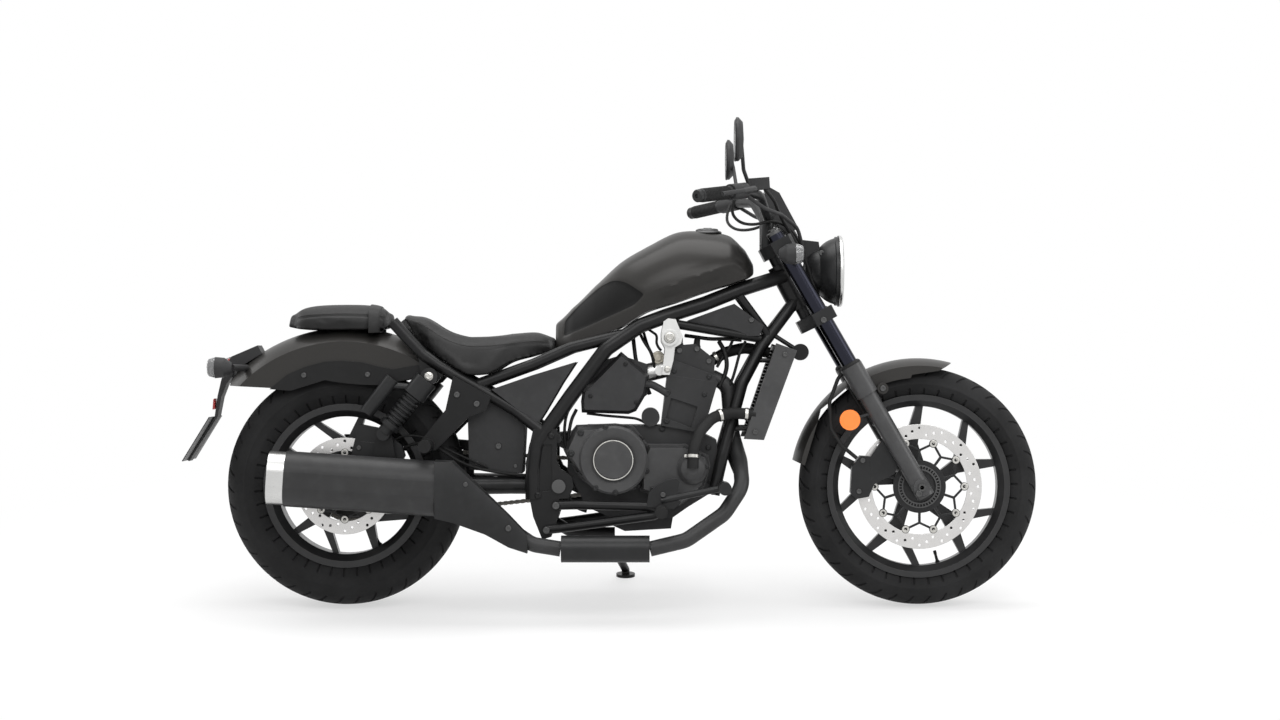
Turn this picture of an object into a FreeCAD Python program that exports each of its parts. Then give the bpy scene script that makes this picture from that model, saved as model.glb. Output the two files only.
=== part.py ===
import FreeCAD, Part
import math
import os
import Sketcher
from FreeCAD import Placement, Rotation, Vector

# A cruiser motorcycle in millimetres, modelled upright with the rear axle
# at x 0 and the ground at z 0, then leaned over onto its side stand.
# x runs forward, y to the rider's left, z up.

LEAN_ANGLE = 9.5
RAKE_ANGLE = 28.0
FORK_ANGLE = 30.0
MUFFLER_RISE_ANGLE = 3.8
RADIATOR_TILT_ANGLE = 19.0
COVER_TAPER_ANGLE = 12.0
SPOKES = 5
FIN_ROWS = 22
COIL_TURNS = 8
ARC_STEPS = 8
SHOCK_SHARES = (0.06, 0.34, 0.98)
COLLAR_SHARES = (0.82, 0.88)
LINK_SHARE = 0.2
BOW_SHARE = 0.9
CAP_SHARE = 0.96

LENGTHS = {
    "front_axle_x": 1520, "front_axle_z": 316,
    "rear_axle_z": 318,
    "axle_radius": 10, "axle_play": 0.4,
    "seat_gap": 0.3,
    "front_hub_end": 58, "rear_hub_left_end": 84, "rear_hub_right_end": 70,
    "front_spoke_half": 15, "rear_spoke_half": 19,
    "front_spoke_root": 44, "front_spoke_fork": 112, "front_spoke_crotch": 142,
    "front_spoke_outer": 118, "front_spoke_tip": 216,
    "rear_spoke_root": 46, "rear_spoke_fork": 98, "rear_spoke_crotch": 122,
    "rear_spoke_outer": 104, "rear_spoke_tip": 186,
    "bobbin_circle": 120, "bobbin_radius": 8,
    "rear_bobbin_circle": 88, "rear_bobbin_radius": 8,
    "disc_thickness": 5, "front_disc_y": -66, "rear_disc_y": -82,
    "fork_y": 105, "slider_radius": 24.5, "collar_radius": 30, "stanchion_radius": 21.5,
    "fork_foot_z": 292, "slider_top_z": 560, "collar_top_z": 635, "stanchion_top_z": 982,
    "axle_lug_radius": 22, "axle_lug_inner": 80, "axle_lug_outer": 134,
    "front_axle_half": 140, "axle_hollow_radius": 5.5,
    "steering_x": 1630,
    "stem_radius": 16, "stem_bore_radius": 16.5, "head_radius": 30,
    "head_low_z": 790, "head_high_z": 905,
    "yoke_thickness": 34, "lower_yoke_z": 752, "upper_yoke_z": 926, "top_nut_radius": 17,
    "top_nut_height": 14,
    "riser_radius": 17, "riser_y": 46, "riser_foot_z": 944, "riser_top_z": 1034,
    "bar_radius": 12.5, "bar_bend": 70, "bar_bore_radius": 9, "bar_bore_depth": 30,
    "grip_radius": 17, "grip_length": 122,
    "main_tube_radius": 19, "rail_radius": 15, "loop_radius": 16, "down_tube_radius": 16,
    "brace_radius": 11, "cross_radius": 12, "tube_bend": 60, "small_bend": 30,
    "pivot_x": 567, "pivot_z": 320, "pivot_bolt_radius": 9, "pivot_cap_radius": 18,
    "pivot_plate_y": 134, "pivot_plate_thickness": 30, "pivot_nut_height": 9, "recess_depth": 6,
    "low_cross_x": 535, "low_cross_z": 200, "engine_cross_x": 972, "engine_cross_z": 308,
    "engine_cross_half": 118, "tank_cross_x": 740, "tank_cross_z": 716, "tank_cross_half": 116,
    "seat_cross_x": 500, "seat_cross_z": 640, "seat_cross_half": 118,
    "loop_cross_x": 250, "loop_cross_z": 637, "loop_cross_half": 124,
    "horn_x": 1205, "horn_z": 672, "horn_inner": 40, "horn_outer": 70, "horn_radius": 22,
    "horn_stay_x": 1128, "horn_stay_z": 722, "horn_stay_y": 38, "stay_radius": 6,
    "top_mount_x": 1082, "top_mount_y": 59, "top_mount_z": 650, "top_mount_reach": 46,
    "low_mount_x": 1017, "low_mount_y": 94, "low_mount_z": 470, "low_mount_reach": 48,
    "case_half": 90, "pan_half": 70, "ear_x": 562, "ear_z": 444,
    "starter_x": 808, "starter_z": 500, "starter_radius": 24, "starter_end": 104, "starter_root": 40,
    "cover_flange": 12, "cover_rise": 62, "front_cover_rise": 48,
    "clutch_x": 710, "clutch_z": 389, "pump_x": 918, "pump_z": 366,
    "left_cover_y": 134, "left_cover_thickness": 28, "rotor_x": 858, "rotor_z": 372,
    "block_half": 105, "cam_cover_half": 98, "window_depth": 10,
    "hanger_thickness": 12, "hanger_bolt_x": 858, "hanger_bolt_z": 710, "hanger_bolt_radius": 22,
    "throttle_y": 45, "throttle_radius": 24, "port_x": 868, "port_z": 634,
    "inlet_x": 796, "inlet_z": 616, "rail_x": 832, "rail_z": 622, "rail_half": 96,
    "airbox_half": 84, "airbox_cover_depth": 42, "breather_radius": 10, "hose_outer_radius": 15,
    "chain_y": 104, "chain_width": 16, "chain_height": 13, "chain_pitch": 15.875, "chain_waist": 2.2,
    "sprocket_radius": 94,
    "drive_x": 650, "drive_z": 336, "drive_radius": 39, "sprocket_thickness": 7,
    "arm_radius": 23, "arm_plate_y": 128, "arm_plate_thickness": 20,
    "bridge_x": 390, "bridge_z": 321, "bridge_half": 124,
    "guard_y": 108, "guard_width": 22, "guard_side_y": 119, "guard_sheet": 3,
    "shock_y": 152, "shock_eye_radius": 22, "shock_eye_half": 15,
    "shock_cap_radius": 31, "shock_collar_radius": 28, "coil_wire_radius": 5, "coil_pitch": 12.6, "shock_body_radius": 20,
    "damper_radius": 12, "reservoir_radius": 19,
    "muffler_y": -218, "muffler_half_width": 58, "muffler_straight": 20,
    "muffler_length": 392, "muffler_rear_x": -140, "muffler_rear_z": 343,
    "muffler_round": 14, "muffler_cap_length": 44, "pipe_radius": 20, "pipe_bend": 70,
    "shield_radius": 35, "shield_front_x": 805, "shield_rear_x": 575, "shield_z": 160,
    "shield_y": -210,
    "lamp_x": 1212, "lamp_z": 888,
    "peg_x": 835, "peg_z": 258, "peg_inner": 176, "peg_outer": 300, "peg_radius": 16,
    "stand_pivot_x": 690, "stand_pivot_y": 158, "stand_pivot_z": 172,
    "stand_foot_x": 740, "stand_foot_y": 318,
    "stand_leg_radius": 11, "stand_eye_radius": 17, "stand_eye_half": 12,
    "foot_radius": 26, "foot_thickness": 8, "stand_pin_radius": 6, "stand_pin_play": 0.4,
    "plate_half": 115,
    "radiator_width": 236, "radiator_cover_width": 26, "radiator_tank": 14,
    "radiator_foot_x": 1057, "radiator_foot_z": 458, "radiator_depth": 34, "radiator_height": 244,
    "radiator_core_front": 28, "radiator_core_rear": 8, "radiator_bar": 12,
    "radiator_fin_pitch": 9.6, "radiator_fin_thickness": 2.4, "sheet_thickness": 4,
    "side_cover_y": 128, "front_panel_y": 64, "rear_signal_y": 132,
    "rear_signal_x": -291, "rear_signal_z": 631, "rear_post_x": -262, "rear_post_z": 630,
    "rear_post_y": 72, "electrics_width": 181, "electrics_y": -14.5, "electrics_boss_x": 452,
    "electrics_boss_z": 512, "pillion_peg_x": 224, "pillion_peg_z": 428, "pillion_peg_end": 276,
    "tail_lamp_width": 87, "plate_arm_width": 62, "front_panel_thickness": 12,
    "rear_lug_inner": 112, "rear_lug_outer": 146, "rear_lug_radius": 30,
    "pivot_sleeve_half": 116, "rear_axle_half": 156, "rear_sprocket_end": 107.5,
    "shock_top_x": 228, "shock_top_z": 608, "shock_low_x": 108, "shock_low_z": 457,
    "reservoir_top_x": 132, "reservoir_top_z": 602, "reservoir_low_x": 63, "reservoir_low_z": 512,
    "reservoir_link_z": 584,
    "rear_caliper_width": 44, "rear_caliper_y": -86, "caliper_gap": 5,
    "pedal_y": 182, "pedal_outer_y": 262, "pedal_pad_x": 1000, "pedal_pad_z": 318,
    "pedal_arm_z": 284,
    "fender_post_x": 1420, "fender_post_z": 576,
    "front_caliper_width": 46, "front_caliper_y": -68, "hose_radius": 5,
    "caliper_plate_thickness": 12, "caliper_plate_y": -105, "nut_radius": 17,
    "reflector_x": 1333, "reflector_z": 493, "reflector_radius": 27, "reflector_inner": 104,
    "reflector_outer": 112, "reflector_stay_x": 1402, "reflector_stay_z": 515, "reflector_stay_radius": 3,
    "lever_radius": 6, "perch_radius": 9, "cable_radius": 5, "control_margin": 1,
    "fluid_cup_y": -234, "fluid_cup_width": 38, "instrument_width": 105, "lamp_stay_width": 46,
    "side_cover_thickness": 28, "stay_sheet": 4, "peg_plate_thickness": 11, "tip_hole_radius": 22,
    "tip_hole_rise": 8, "rear_flat_half": 22,
    "front_signal_x": 1143, "front_signal_y": 168, "front_signal_z": 928,
    "mirror_rod_radius": 5, "control_length": 62, "control_radius": 21,
}

# Closed outlines: each row is one corner, with the rise of the arc to the
# next corner as a third number where that side is curved.
OUTLINES = {
    "front_tyre": [(233, -41), (245, -41), (286, -64), (316, -22), (316, 22), (286, 64), (245, 41),
                   (233, 41)],
    "rear_tyre": [(206, -62), (219, -62), (282, -90), (318, -22), (318, 22), (282, 90), (219, 62),
                  (206, 62)],
    "front_rim": [(243, -46), (243, -41.3), (232.7, -41.3), (232.7, -30), (222, -18), (222, 18),
                  (232.7, 30), (232.7, 41.3), (243, 41.3), (243, 46), (228, 46), (212, 22),
                  (212, -22), (228, -46)],
    "rear_rim": [(217, -67), (217, -62.3), (205.7, -62.3), (205.7, -48), (192, -34), (192, 34),
                 (205.7, 48), (205.7, 62.3), (217, 62.3), (217, 67), (200, 67), (183, 38),
                 (183, -38), (200, -67)],
    "front_hub": [(10.4, -58), (58, -58), (58, -50), (40, -44), (48, -34), (48, 34), (26, 42),
                  (26, 58), (10.4, 58)],
    "rear_hub": [(10.4, -70), (60, -70), (60, -60), (45, -50), (50, -38), (50, 38), (44, 46),
                 (60, 74), (60, 84), (10.4, 84)],
    "front_ring": [(125, -2.5), (165, -2.5), (165, 2.5), (125, 2.5)],
    "front_carrier": [(26, 0), (116, -2), (116, 3), (60, 8), (26, 8)],
    "rear_ring": [(93, -2.5), (128, -2.5), (128, 2.5), (93, 2.5)],
    "rear_carrier": [(26, 2), (84, -2), (84, 3), (56, 12), (26, 12)],
    "sprocket": [(26, 84), (56, 84), (60, 98), (88, 101), (94, 102.5), (94, 105.5), (88, 107),
                 (50, 107), (45, 90), (26, 90)],
    "front_fender_ring": [(288, -76), (320, -76, 20), (320, 76), (288, 76), (288, 73),
                          (318, 73, -18.5), (318, -73), (288, -73)],
    "front_fender_side": [(1170, 392), (1216, 372), (1260, 520), (1330, 580), (1395, 560), (1470, 545),
                          (1500, 612), (1570, 622), (1622, 650), (1560, 720), (1400, 720),
                          (1200, 620), (1120, 480)],
    "rear_fender_ring": [(322, -107), (382, -107, 38), (382, 107), (322, 107), (322, 104),
                         (380, 104, -37), (380, -104), (322, -104)],
    "rear_fender_core": [(100, -107), (382, -107, 38), (382, 107), (100, 107)],
    "rear_fender_side": [(212, 638), (150, 760), (-80, 780), (-220, 700), (-300, 640), (-306, 583),
                         (-190, 577), (-150, 610, -1), (-100, 632, -1), (-50, 645, -1), (0, 647, -1),
                         (50, 643, -1), (100, 630), (130, 625), (170, 632)],
    "fender_stay": [(-196, 574), (-140, 570), (-50, 598, 4), (100, 585), (200, 606), (232, 618),
                    (250, 637), (226, 654), (212, 640), (170, 634), (130, 627), (100, 632), (50, 645),
                    (0, 649), (-50, 647), (-100, 634), (-150, 612)],
    "upper_yoke": [(-28, -40), (0, -134), (52, -138), (62, -100), (40, -60), (34, 0),
                   (40, 60), (62, 100), (52, 138), (0, 134), (-28, 40)],
    "lower_yoke": [(-30, -36), (8, -134), (66, -136), (70, -90), (48, -50), (40, 0),
                   (48, 50), (70, 90), (66, 136), (8, 134), (-30, 36)],
    "lamp_shell": [(0, 0), (36, 8, 4), (62, 46, 4), (88, 86), (92, 88), (92, 98), (0, 98)],
    "lamp_lens": [(0, 98.3), (84, 98.3), (84, 102), (0, 112)],
    "lamp_ring": [(84.3, 96), (95, 96), (95, 104), (84.3, 108)],
    "lamp_bracket": [(1160, 954), (1168, 976), (1256, 966), (1262, 930), (1216, 922), (1190, 938)],
    "instrument": [(1120, 1112), (1150, 1095), (1200, 1002), (1172, 985), (1104, 1046)],
    "indicator": [(0, 0), (12, 0), (26, 20), (28, 44), (26.5, 44), (22, 60), (0, 64)],
    "mirror": [(0, 0), (44, 3), (56, 14), (56, 20), (52, 20), (52, 22), (0, 22)],
    "front_caliper": [(1336, 300), (1352, 284), (1384, 290), (1402, 330), (1410, 372), (1396, 396),
                      (1362, 398), (1340, 370)],
    "caliper_arm": [(1424, 448), (1470, 392), (1452, 350), (1392, 320), (1386, 392)],
    "crankcase": [(588, 360), (590, 410), (550, 432), (550, 456), (604, 462), (640, 478), (836, 478),
                   (946, 458), (982, 440), (986, 400), (980, 340), (960, 296), (905, 262), (868, 236),
                   (720, 228), (640, 262)],
    "oil_pan": [(700, 236), (868, 240), (862, 205), (740, 198), (705, 214)],
    "cylinder_block": [(836, 478), (852, 612), (985, 592), (946, 458)],
    "block_window": [(862, 552), (932, 528), (915, 472), (848, 498)],
    "cylinder_head": [(852, 612), (860, 654), (974, 612), (985, 592)],
    "cam_cover": [(858, 640), (858, 664), (880, 690), (926, 694), (978, 652), (974, 598)],
    "hanger": [(836, 722), (844, 762), (874, 758), (893, 712), (888, 694), (872, 684), (868, 650),
               (858, 612), (838, 612), (842, 650), (846, 682), (836, 700)],
    "clutch_dome": [(0, -20), (90, -20), (90, 2), (84, 8), (62, 4), (53, 2), (51, 2), (51, 14),
                    (47, 17), (0, 17)],
    "pump_dome": [(0, -20), (40, -20), (40, 8), (30, 22), (14, 28), (0, 28)],
    "rotor_dome": [(0, 0), (92, 0), (92, 54), (84, 68), (60, 74), (55, 74), (55, 80), (50, 84), (0, 84)],
    "airbox_body": [(640, 560), (650, 640), (730, 664), (800, 640), (800, 560), (760, 530)],
    "plate_recess": [(515, 430), (550, 430), (550, 350), (546, 308), (515, 305)],
    "caliper_plate": [(-24, 298), (22, 294), (64, 378), (122, 388), (116, 430), (44, 436), (-12, 356)],
    "arm_plate": [(-34, 296), (-34, 340), (40, 346), (170, 340), (170, 300), (40, 290)],
    "chain_guard_top": [(-20, 446), (120, 446), (440, 420), (440, 424), (120, 450), (-20, 450)],
    "chain_guard_side": [(-20, 420), (120, 420), (440, 398), (440, 424), (120, 450), (-20, 450)],
    "chain_guard_post": [(300, 330), (330, 330), (330, 414), (300, 416)],
    "fluid_cup": [(1062, 1090), (1116, 1094), (1114, 1124), (1060, 1120)],
    "right_cover": [(578, 415), (590, 390), (620, 340), (660, 310), (710, 298), (770, 310), (800, 338),
                    (803, 382), (800, 430), (762, 478), (715, 484), (612, 480), (600, 465)],
    "right_front_cover": [(780, 306), (885, 266), (950, 316), (966, 372), (960, 400), (900, 430),
                          (800, 430), (780, 380)],
    "left_cover": [(590, 300), (650, 268), (740, 268), (800, 280), (800, 460), (640, 430), (590, 380)],
    "oil_filter": [(0, 0), (33, 0), (33, 52), (26, 58), (0, 58)],
    "radiator_side": [(1138, 695), (1192, 676), (1105, 441), (1053, 444)],
    "airbox": [(624, 542), (628, 570), (730, 673), (805, 610), (796, 560), (770, 516), (750, 508),
               (626, 512)],
    "side_cover": [(390, 574), (500, 612), (612, 646), (574, 588), (526, 506), (510, 482)],
    "front_panel": [(912, 758), (1000, 790), (1030, 800), (1108, 742), (1096, 714), (1010, 716),
                    (905, 755)],
    "battery_box": [(330, 362), (470, 352), (478, 500), (350, 560), (326, 500)],
    "pivot_plate": [(486, 286), (592, 288), (606, 320), (601, 346), (572, 366), (562, 388),
                    (562, 470), (500, 470), (480, 380)],
    "low_bracket": [(490, 292), (566, 292), (572, 262), (548, 188), (524, 180), (500, 240)],
    "shock_lug": [(196, 668), (262, 634), (262, 610), (244, 590), (214, 590), (204, 612)],
    "shock_foot": [(70, 318), (150, 318), (128, 458), (118, 474), (98, 474), (88, 458)],
    "peg_bracket": [(290, 610), (390, 554), (376, 520), (330, 500), (244, 414), (206, 414),
                   (206, 440), (270, 520)],
    "rear_caliper": [(20, 408), (70, 402), (146, 372), (160, 398), (152, 426), (100, 470), (40, 482)],
    "tail_lamp": [(-224, 668), (-300, 622), (-318, 636), (-306, 660), (-236, 690)],
    "plate_arm": [(-300, 622), (-318, 636), (-334, 600), (-344, 556), (-352, 500), (-424, 384),
                  (-420, 382), (-344, 500), (-334, 552), (-320, 588), (-306, 606)],
    "plate": [(-353, 500), (-424, 384), (-426, 385), (-355, 501)],
    "brake_pedal": [(797, 268), (803, 305), (825, 325), (850, 338), (875, 342), (884, 334), (876, 300),
                    (884, 276), (868, 262)],
    "cap": [(0, 0), (34, 0), (32, 8), (0, 10)],
    "stem_nut": [(0, 0), (20, 0), (20, 12), (12, 16), (0, 16)],
}

# Bent tubes by the corners of their centre lines.
PATHS = {
    "main_tube": [(1165, 24, 876), (1050, 56, 840), (950, 80, 800), (850, 100, 768), (780, 112, 742),
                  (690, 126, 680), (600, 132, 560), (508, 136, 430), (498, 136, 350), (498, 136, 286)],
    "seat_rail": [(752, 116, 722), (600, 118, 684), (500, 118, 640), (345, 120, 584)],
    "rear_loop": [(130, 124, 752), (170, 124, 708), (210, 124, 665), (250, 124, 637), (350, 124, 580),
                  (450, 126, 520), (526, 134, 462)],
    "down_tube": [(1196, 14, 812), (1104, 48, 690), (1050, 76, 590), (998, 104, 403), (974, 108, 296)],
    "brace": [(846, 96, 752), (1100, 52, 708)],
    "strut": [(1036, 58, 832), (1122, 46, 716)],
    "stand_rail": [(540, 126, 216), (600, 118, 182), (712, 118, 182)],
    "swing_arm": [(120, 132, 319), (330, 132, 321), (440, 98, 321), (567, 95, 320)],
    "breather": [(786, -100, 588), (812, -100, 586), (834, -100, 574), (856, -100, 560)],
    "low_coolant_hose": [(918, -166, 368), (920, -166, 420), (938, -158, 466), (972, -140, 502),
                         (1020, -130, 512), (1084, -130, 508)],
    "top_coolant_hose": [(966, 0, 646), (1010, 0, 672), (1060, 0, 684), (1126, 0, 670)],
    "lever": [(1076, 292, 1090), (1074, 318, 1089), (1040, 384, 1080), (988, 428, 1070)],
    "cable": [(1052, 282, 1076), (1100, 250, 1044), (1150, 170, 1030), (1196, 90, 1000),
              (1226, 24, 902)],
    "handlebar": [(1118, 0, 1022), (1118, 96, 1022), (1092, 190, 1080), (1044, 286, 1086),
                  (931, 418, 1066)],
    "header": [(972, -45, 606), (1016, -45, 584), (1024, -45, 455), (1044, -90, 385),
               (1048, -150, 320), (1000, -178, 250), (900, -204, 182), (806, -210, 160)],
    "left_header": [(972, 45, 606), (1016, 45, 584), (1026, 40, 455), (1030, 0, 400),
                    (1040, -60, 372), (1046, -112, 356)],
    "tail_pipe": [(574, -210, 160), (500, -212, 172), (392, -215, 246), (330, -217, 306),
                  (252, -218, 318)],
    "mirror_stem": [(1064, 262, 1094), (1046, 290, 1140), (1040, 340, 1190), (1036, 372, 1212)],
    "brake_hose": [(1330, -82, 640), (1302, -90, 600), (1280, -92, 540), (1284, -94, 470),
                   (1312, -94, 425), (1352, -94, 392)],
    "peg_upper": [(556, 150, 270), (620, 158, 272), (800, 166, 268), (832, 168, 258)],
    "peg_lower": [(534, 150, 206), (600, 156, 214), (820, 166, 245), (832, 168, 258)],
}

# Lofted bodies: x, half width at foot, foot z, half width at top, shoulder z,
# bulge of the sides, rise of the crown.
LOFTS = {
    "tank": [(556, 50, 678, 30, 742, 4, 8), (600, 84, 692, 46, 778, 8, 12),
             (660, 108, 710, 66, 832, 12, 16), (730, 118, 738, 84, 890, 20, 22),
             (800, 122, 780, 92, 928, 24, 26), (880, 126, 806, 92, 960, 26, 32),
             (960, 122, 834, 86, 962, 24, 32), (1020, 108, 852, 74, 954, 20, 28),
             (1060, 92, 866, 56, 930, 14, 15), (1082, 70, 876, 40, 902, 6, 8)],
    "rider_seat": [(190, 96, 702, 84, 756, 6, 12), (236, 128, 668, 104, 728, 8, 12),
                   (300, 146, 630, 122, 700, 8, 10), (380, 150, 612, 126, 698, 8, 10),
                   (450, 128, 644, 110, 704, 8, 12), (510, 98, 660, 84, 706, 6, 13),
                   (548, 74, 674, 60, 700, 4, 10)],
    "pillion_seat": [(-152, 50, 738, 40, 756, 4, 6), (-120, 84, 734, 66, 768, 8, 12),
                     (-40, 98, 732, 82, 776, 8, 16), (60, 98, 732, 84, 774, 8, 16),
                     (104, 86, 734, 70, 766, 6, 12), (122, 64, 738, 52, 756, 4, 6)],
    "duct": [(250, 54, 242, 54, 388, 8, 4), (296, 50, 231, 50, 386, 6, 4), (380, 40, 200, 40, 306, 5, 3),
             (440, 30, 166, 30, 248, 4, 3), (488, 23, 150, 23, 198, 3, 3)],
}


class Size:
    def __init__(self, number, text):
        self.number = number
        self.text = text

    def __add__(self, other):
        return joined(self, other, "+", lambda a, b: a + b)

    def __radd__(self, other):
        return joined(other, self, "+", lambda a, b: a + b)

    def __sub__(self, other):
        return joined(self, other, "-", lambda a, b: a - b)

    def __rsub__(self, other):
        return joined(other, self, "-", lambda a, b: a - b)

    def __mul__(self, other):
        return joined(self, other, "*", lambda a, b: a * b)

    def __truediv__(self, other):
        return joined(self, other, "/", lambda a, b: a / b)

    def __neg__(self):
        return joined(0, self, "-", lambda a, b: a - b)


def as_size(value):
    return value if isinstance(value, Size) else Size(float(value), f"{value:.9f}")


def joined(left, right, sign, work):
    left, right = as_size(left), as_size(right)
    return Size(work(left.number, right.number), f"({left.text} {sign} {right.text})")


def root(value):
    return Size(math.sqrt(value.number), f"sqrt({value.text})")


doc = FreeCAD.newDocument("motorcycle")
sheet = doc.addObject("Spreadsheet::Sheet", "Sizes")
sizes = {}
nodes = []


def add_size(name, number):
    row = len(sizes) + 1
    sheet.set(f"A{row}", f"{number:g}")
    sheet.setAlias(f"A{row}", name)
    sizes[name] = Size(float(number), f"Sizes.{name}")


def fill_sheet():
    for name, number in LENGTHS.items():
        add_size(name, number)
    for name, rows in OUTLINES.items():
        for count, row in enumerate(rows, 1):
            for letter, number in zip(("u", "v", "rise"), row):
                add_size(f"{name}_corner{count}_{letter}", number)
    for name, rows in PATHS.items():
        for count, row in enumerate(rows, 1):
            for letter, number in zip("xyz", row):
                add_size(f"{name}_bend{count}_{letter}", number)
    words = ("x", "foot_half", "foot_z", "top_half", "shoulder_z", "bulge", "crown")
    for name, rows in LOFTS.items():
        for count, row in enumerate(rows, 1):
            for word, number in zip(words, row):
                add_size(f"{name}_station{count}_{word}", number)
    doc.recompute()


def size(name):
    return sizes[name]


def outline(name):
    rows = []
    for count in range(1, len(OUTLINES[name]) + 1):
        start = f"{name}_corner{count}_"
        rows.append((size(start + "u"), size(start + "v"), sizes.get(start + "rise")))
    return rows


def path(name):
    rows = range(1, len(PATHS[name]) + 1)
    return [tuple(size(f"{name}_bend{count}_{letter}") for letter in "xyz") for count in rows]


def vector(point):
    return Vector(*(as_size(value).number for value in point))


def place(item, point, rotation=None):
    item.Placement = Placement(vector(point), rotation or Rotation())
    for letter, value in zip("xyz", point):
        item.setExpression(f"Placement.Base.{letter}", as_size(value).text)
    return item


def add_sketch(body, name, role, corners, offset=None):
    sketch = body.newObject("Sketcher::SketchObject", name)
    plane = [item for item in body.Origin.OriginFeatures if item.Role == role][0]
    sketch.AttachmentSupport = [(plane, "")]
    sketch.MapMode = "FlatFace"
    if offset is not None:
        sketch.AttachmentOffset = Placement(Vector(0, 0, offset.number), Rotation())
        sketch.setExpression("AttachmentOffset.Base.z", offset.text)
    ends = []
    count = len(corners)
    points = [Vector(u.number, v.number, 0) for u, v, rise in corners]
    for index, (u, v, rise) in enumerate(corners):
        first, last = points[index], points[(index + 1) % count]
        if rise is None:
            sketch.addGeometry(Part.LineSegment(first, last), False)
            ends.append((1, 2))
            continue
        along = last - first
        right = Vector(along.y, -along.x, 0).normalize()
        middle = (first + last) * 0.5 + right * rise.number
        curve = Part.Arc(first, middle, last) if rise.number > 0 else Part.Arc(last, middle, first)
        sketch.addGeometry(curve, False)
        ends.append((1, 2) if rise.number > 0 else (2, 1))
    for index in range(count):
        following = (index + 1) % count
        sketch.addConstraint(Sketcher.Constraint(
            "Coincident", index, ends[index][1], following, ends[following][0]))
    for index, (u, v, rise) in enumerate(corners):
        for kind, value in (("DistanceX", u), ("DistanceY", v)):
            number = sketch.addConstraint(Sketcher.Constraint(
                kind, index, ends[index][0], value.number))
            sketch.setExpression(f"Constraints[{number}]", value.text)
        if rise is None:
            continue
        next_u, next_v, next_rise = corners[(index + 1) % count]
        span_u, span_v = next_u - u, next_v - v
        height = rise if rise.number > 0 else -rise
        radius = (span_u * span_u + span_v * span_v) / (height * 8) + height / 2
        number = sketch.addConstraint(Sketcher.Constraint("Radius", index, radius.number))
        sketch.setExpression(f"Constraints[{number}]", radius.text)
    return sketch


def add_pad(body, name, sketch, length, both=True):
    pad = body.newObject("PartDesign::Pad", name)
    pad.Profile = sketch
    pad.Length = length.number
    pad.setExpression("Length", length.text)
    if both:
        pad.SideType = "Symmetric"
    return pad


def slab(name, corners, thickness, middle):
    body = doc.addObject("PartDesign::Body", name)
    sketch = add_sketch(body, name + "_side", "XZ_Plane", corners)
    add_pad(body, name + "_pad", sketch, thickness)
    return place(body, (as_size(0), middle, as_size(0)))


def tapered(name, corners, rise, start):
    """A cover that narrows towards the right side of the machine."""
    body = doc.addObject("PartDesign::Body", name)
    sketch = add_sketch(body, name + "_side", "XZ_Plane", corners)
    pad = add_pad(body, name + "_pad", sketch, rise, False)
    pad.TaperAngle = -COVER_TAPER_ANGLE
    return place(body, (as_size(0), start, as_size(0)))


def between(first, last, share):
    return tuple(one + (other - one) * share for one, other in zip(first, last))


def plain(point):
    return tuple(as_size(value) for value in point)


def block(name, corners, height, point, rotation):
    body = doc.addObject("PartDesign::Body", name)
    sketch = add_sketch(body, name + "_plan", "XY_Plane", corners)
    add_pad(body, name + "_pad", sketch, height, False)
    return place(body, point, rotation)


def turned(name, corners, point, direction=Vector(0, 1, 0)):
    body = doc.addObject("PartDesign::Body", name)
    sketch = add_sketch(body, name + "_section", "XY_Plane", corners)
    turn = body.newObject("PartDesign::Revolution", name + "_turn")
    turn.Profile = sketch
    turn.ReferenceAxis = (sketch, ["V_Axis"])
    turn.Angle = 360
    return place(body, point, Rotation(Vector(0, 1, 0), direction))


def rounded_corners(length, width, corner):
    half_u, half_v = length / 2, width / 2
    rise = corner * (1 - math.cos(math.pi / 4))
    near_u, near_v = half_u - corner, half_v - corner
    return [(-near_u, -half_v, None), (near_u, -half_v, rise), (half_u, -near_v, None),
            (half_u, near_v, rise), (near_u, half_v, None), (-near_u, half_v, rise),
            (-half_u, near_v, None), (-half_u, -near_v, rise)]


def rod(name, start, end, radius):
    item = doc.addObject("Part::Cylinder", name)
    spans = [as_size(last) - as_size(first) for first, last in zip(start, end)]
    length = root(spans[0] * spans[0] + spans[1] * spans[1] + spans[2] * spans[2])
    item.Radius = radius.number
    item.setExpression("Radius", radius.text)
    item.Height = length.number
    item.setExpression("Height", length.text)
    return place(item, start, Rotation(Vector(0, 0, 1), vector(end) - vector(start)))


def cross_rod(name, x, z, low, high, radius):
    return rod(name, (x, low, z), (x, high, z), radius)


def bent_wire(points, bend):
    edges = []
    start = points[0]
    for before, corner, after in zip(points, points[1:], points[2:]):
        back = (before - corner).normalize()
        ahead = (after - corner).normalize()
        half = back.getAngle(ahead) / 2
        room = min((before - corner).Length, (after - corner).Length) * 0.48
        cut = min(bend / math.tan(half), room)
        radius = cut * math.tan(half)
        first, last = corner + back * cut, corner + ahead * cut
        middle = corner + (back + ahead).normalize() * (radius / math.sin(half) - radius)
        edges.append(Part.LineSegment(start, first).toShape())
        edges.append(Part.Arc(first, middle, last).toShape())
        start = last
    edges.append(Part.LineSegment(start, points[-1]).toShape())
    return Part.Wire(edges)


def tube(name, points, radius, bend):
    corners = [vector(point) for point in points]
    ring = Part.Wire(Part.makeCircle(radius.number, corners[0], corners[1] - corners[0]))
    item = doc.addObject("Part::Feature", name)
    item.Shape = bent_wire(corners, bend.number).makePipeShell([ring], True, False)
    return item


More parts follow.
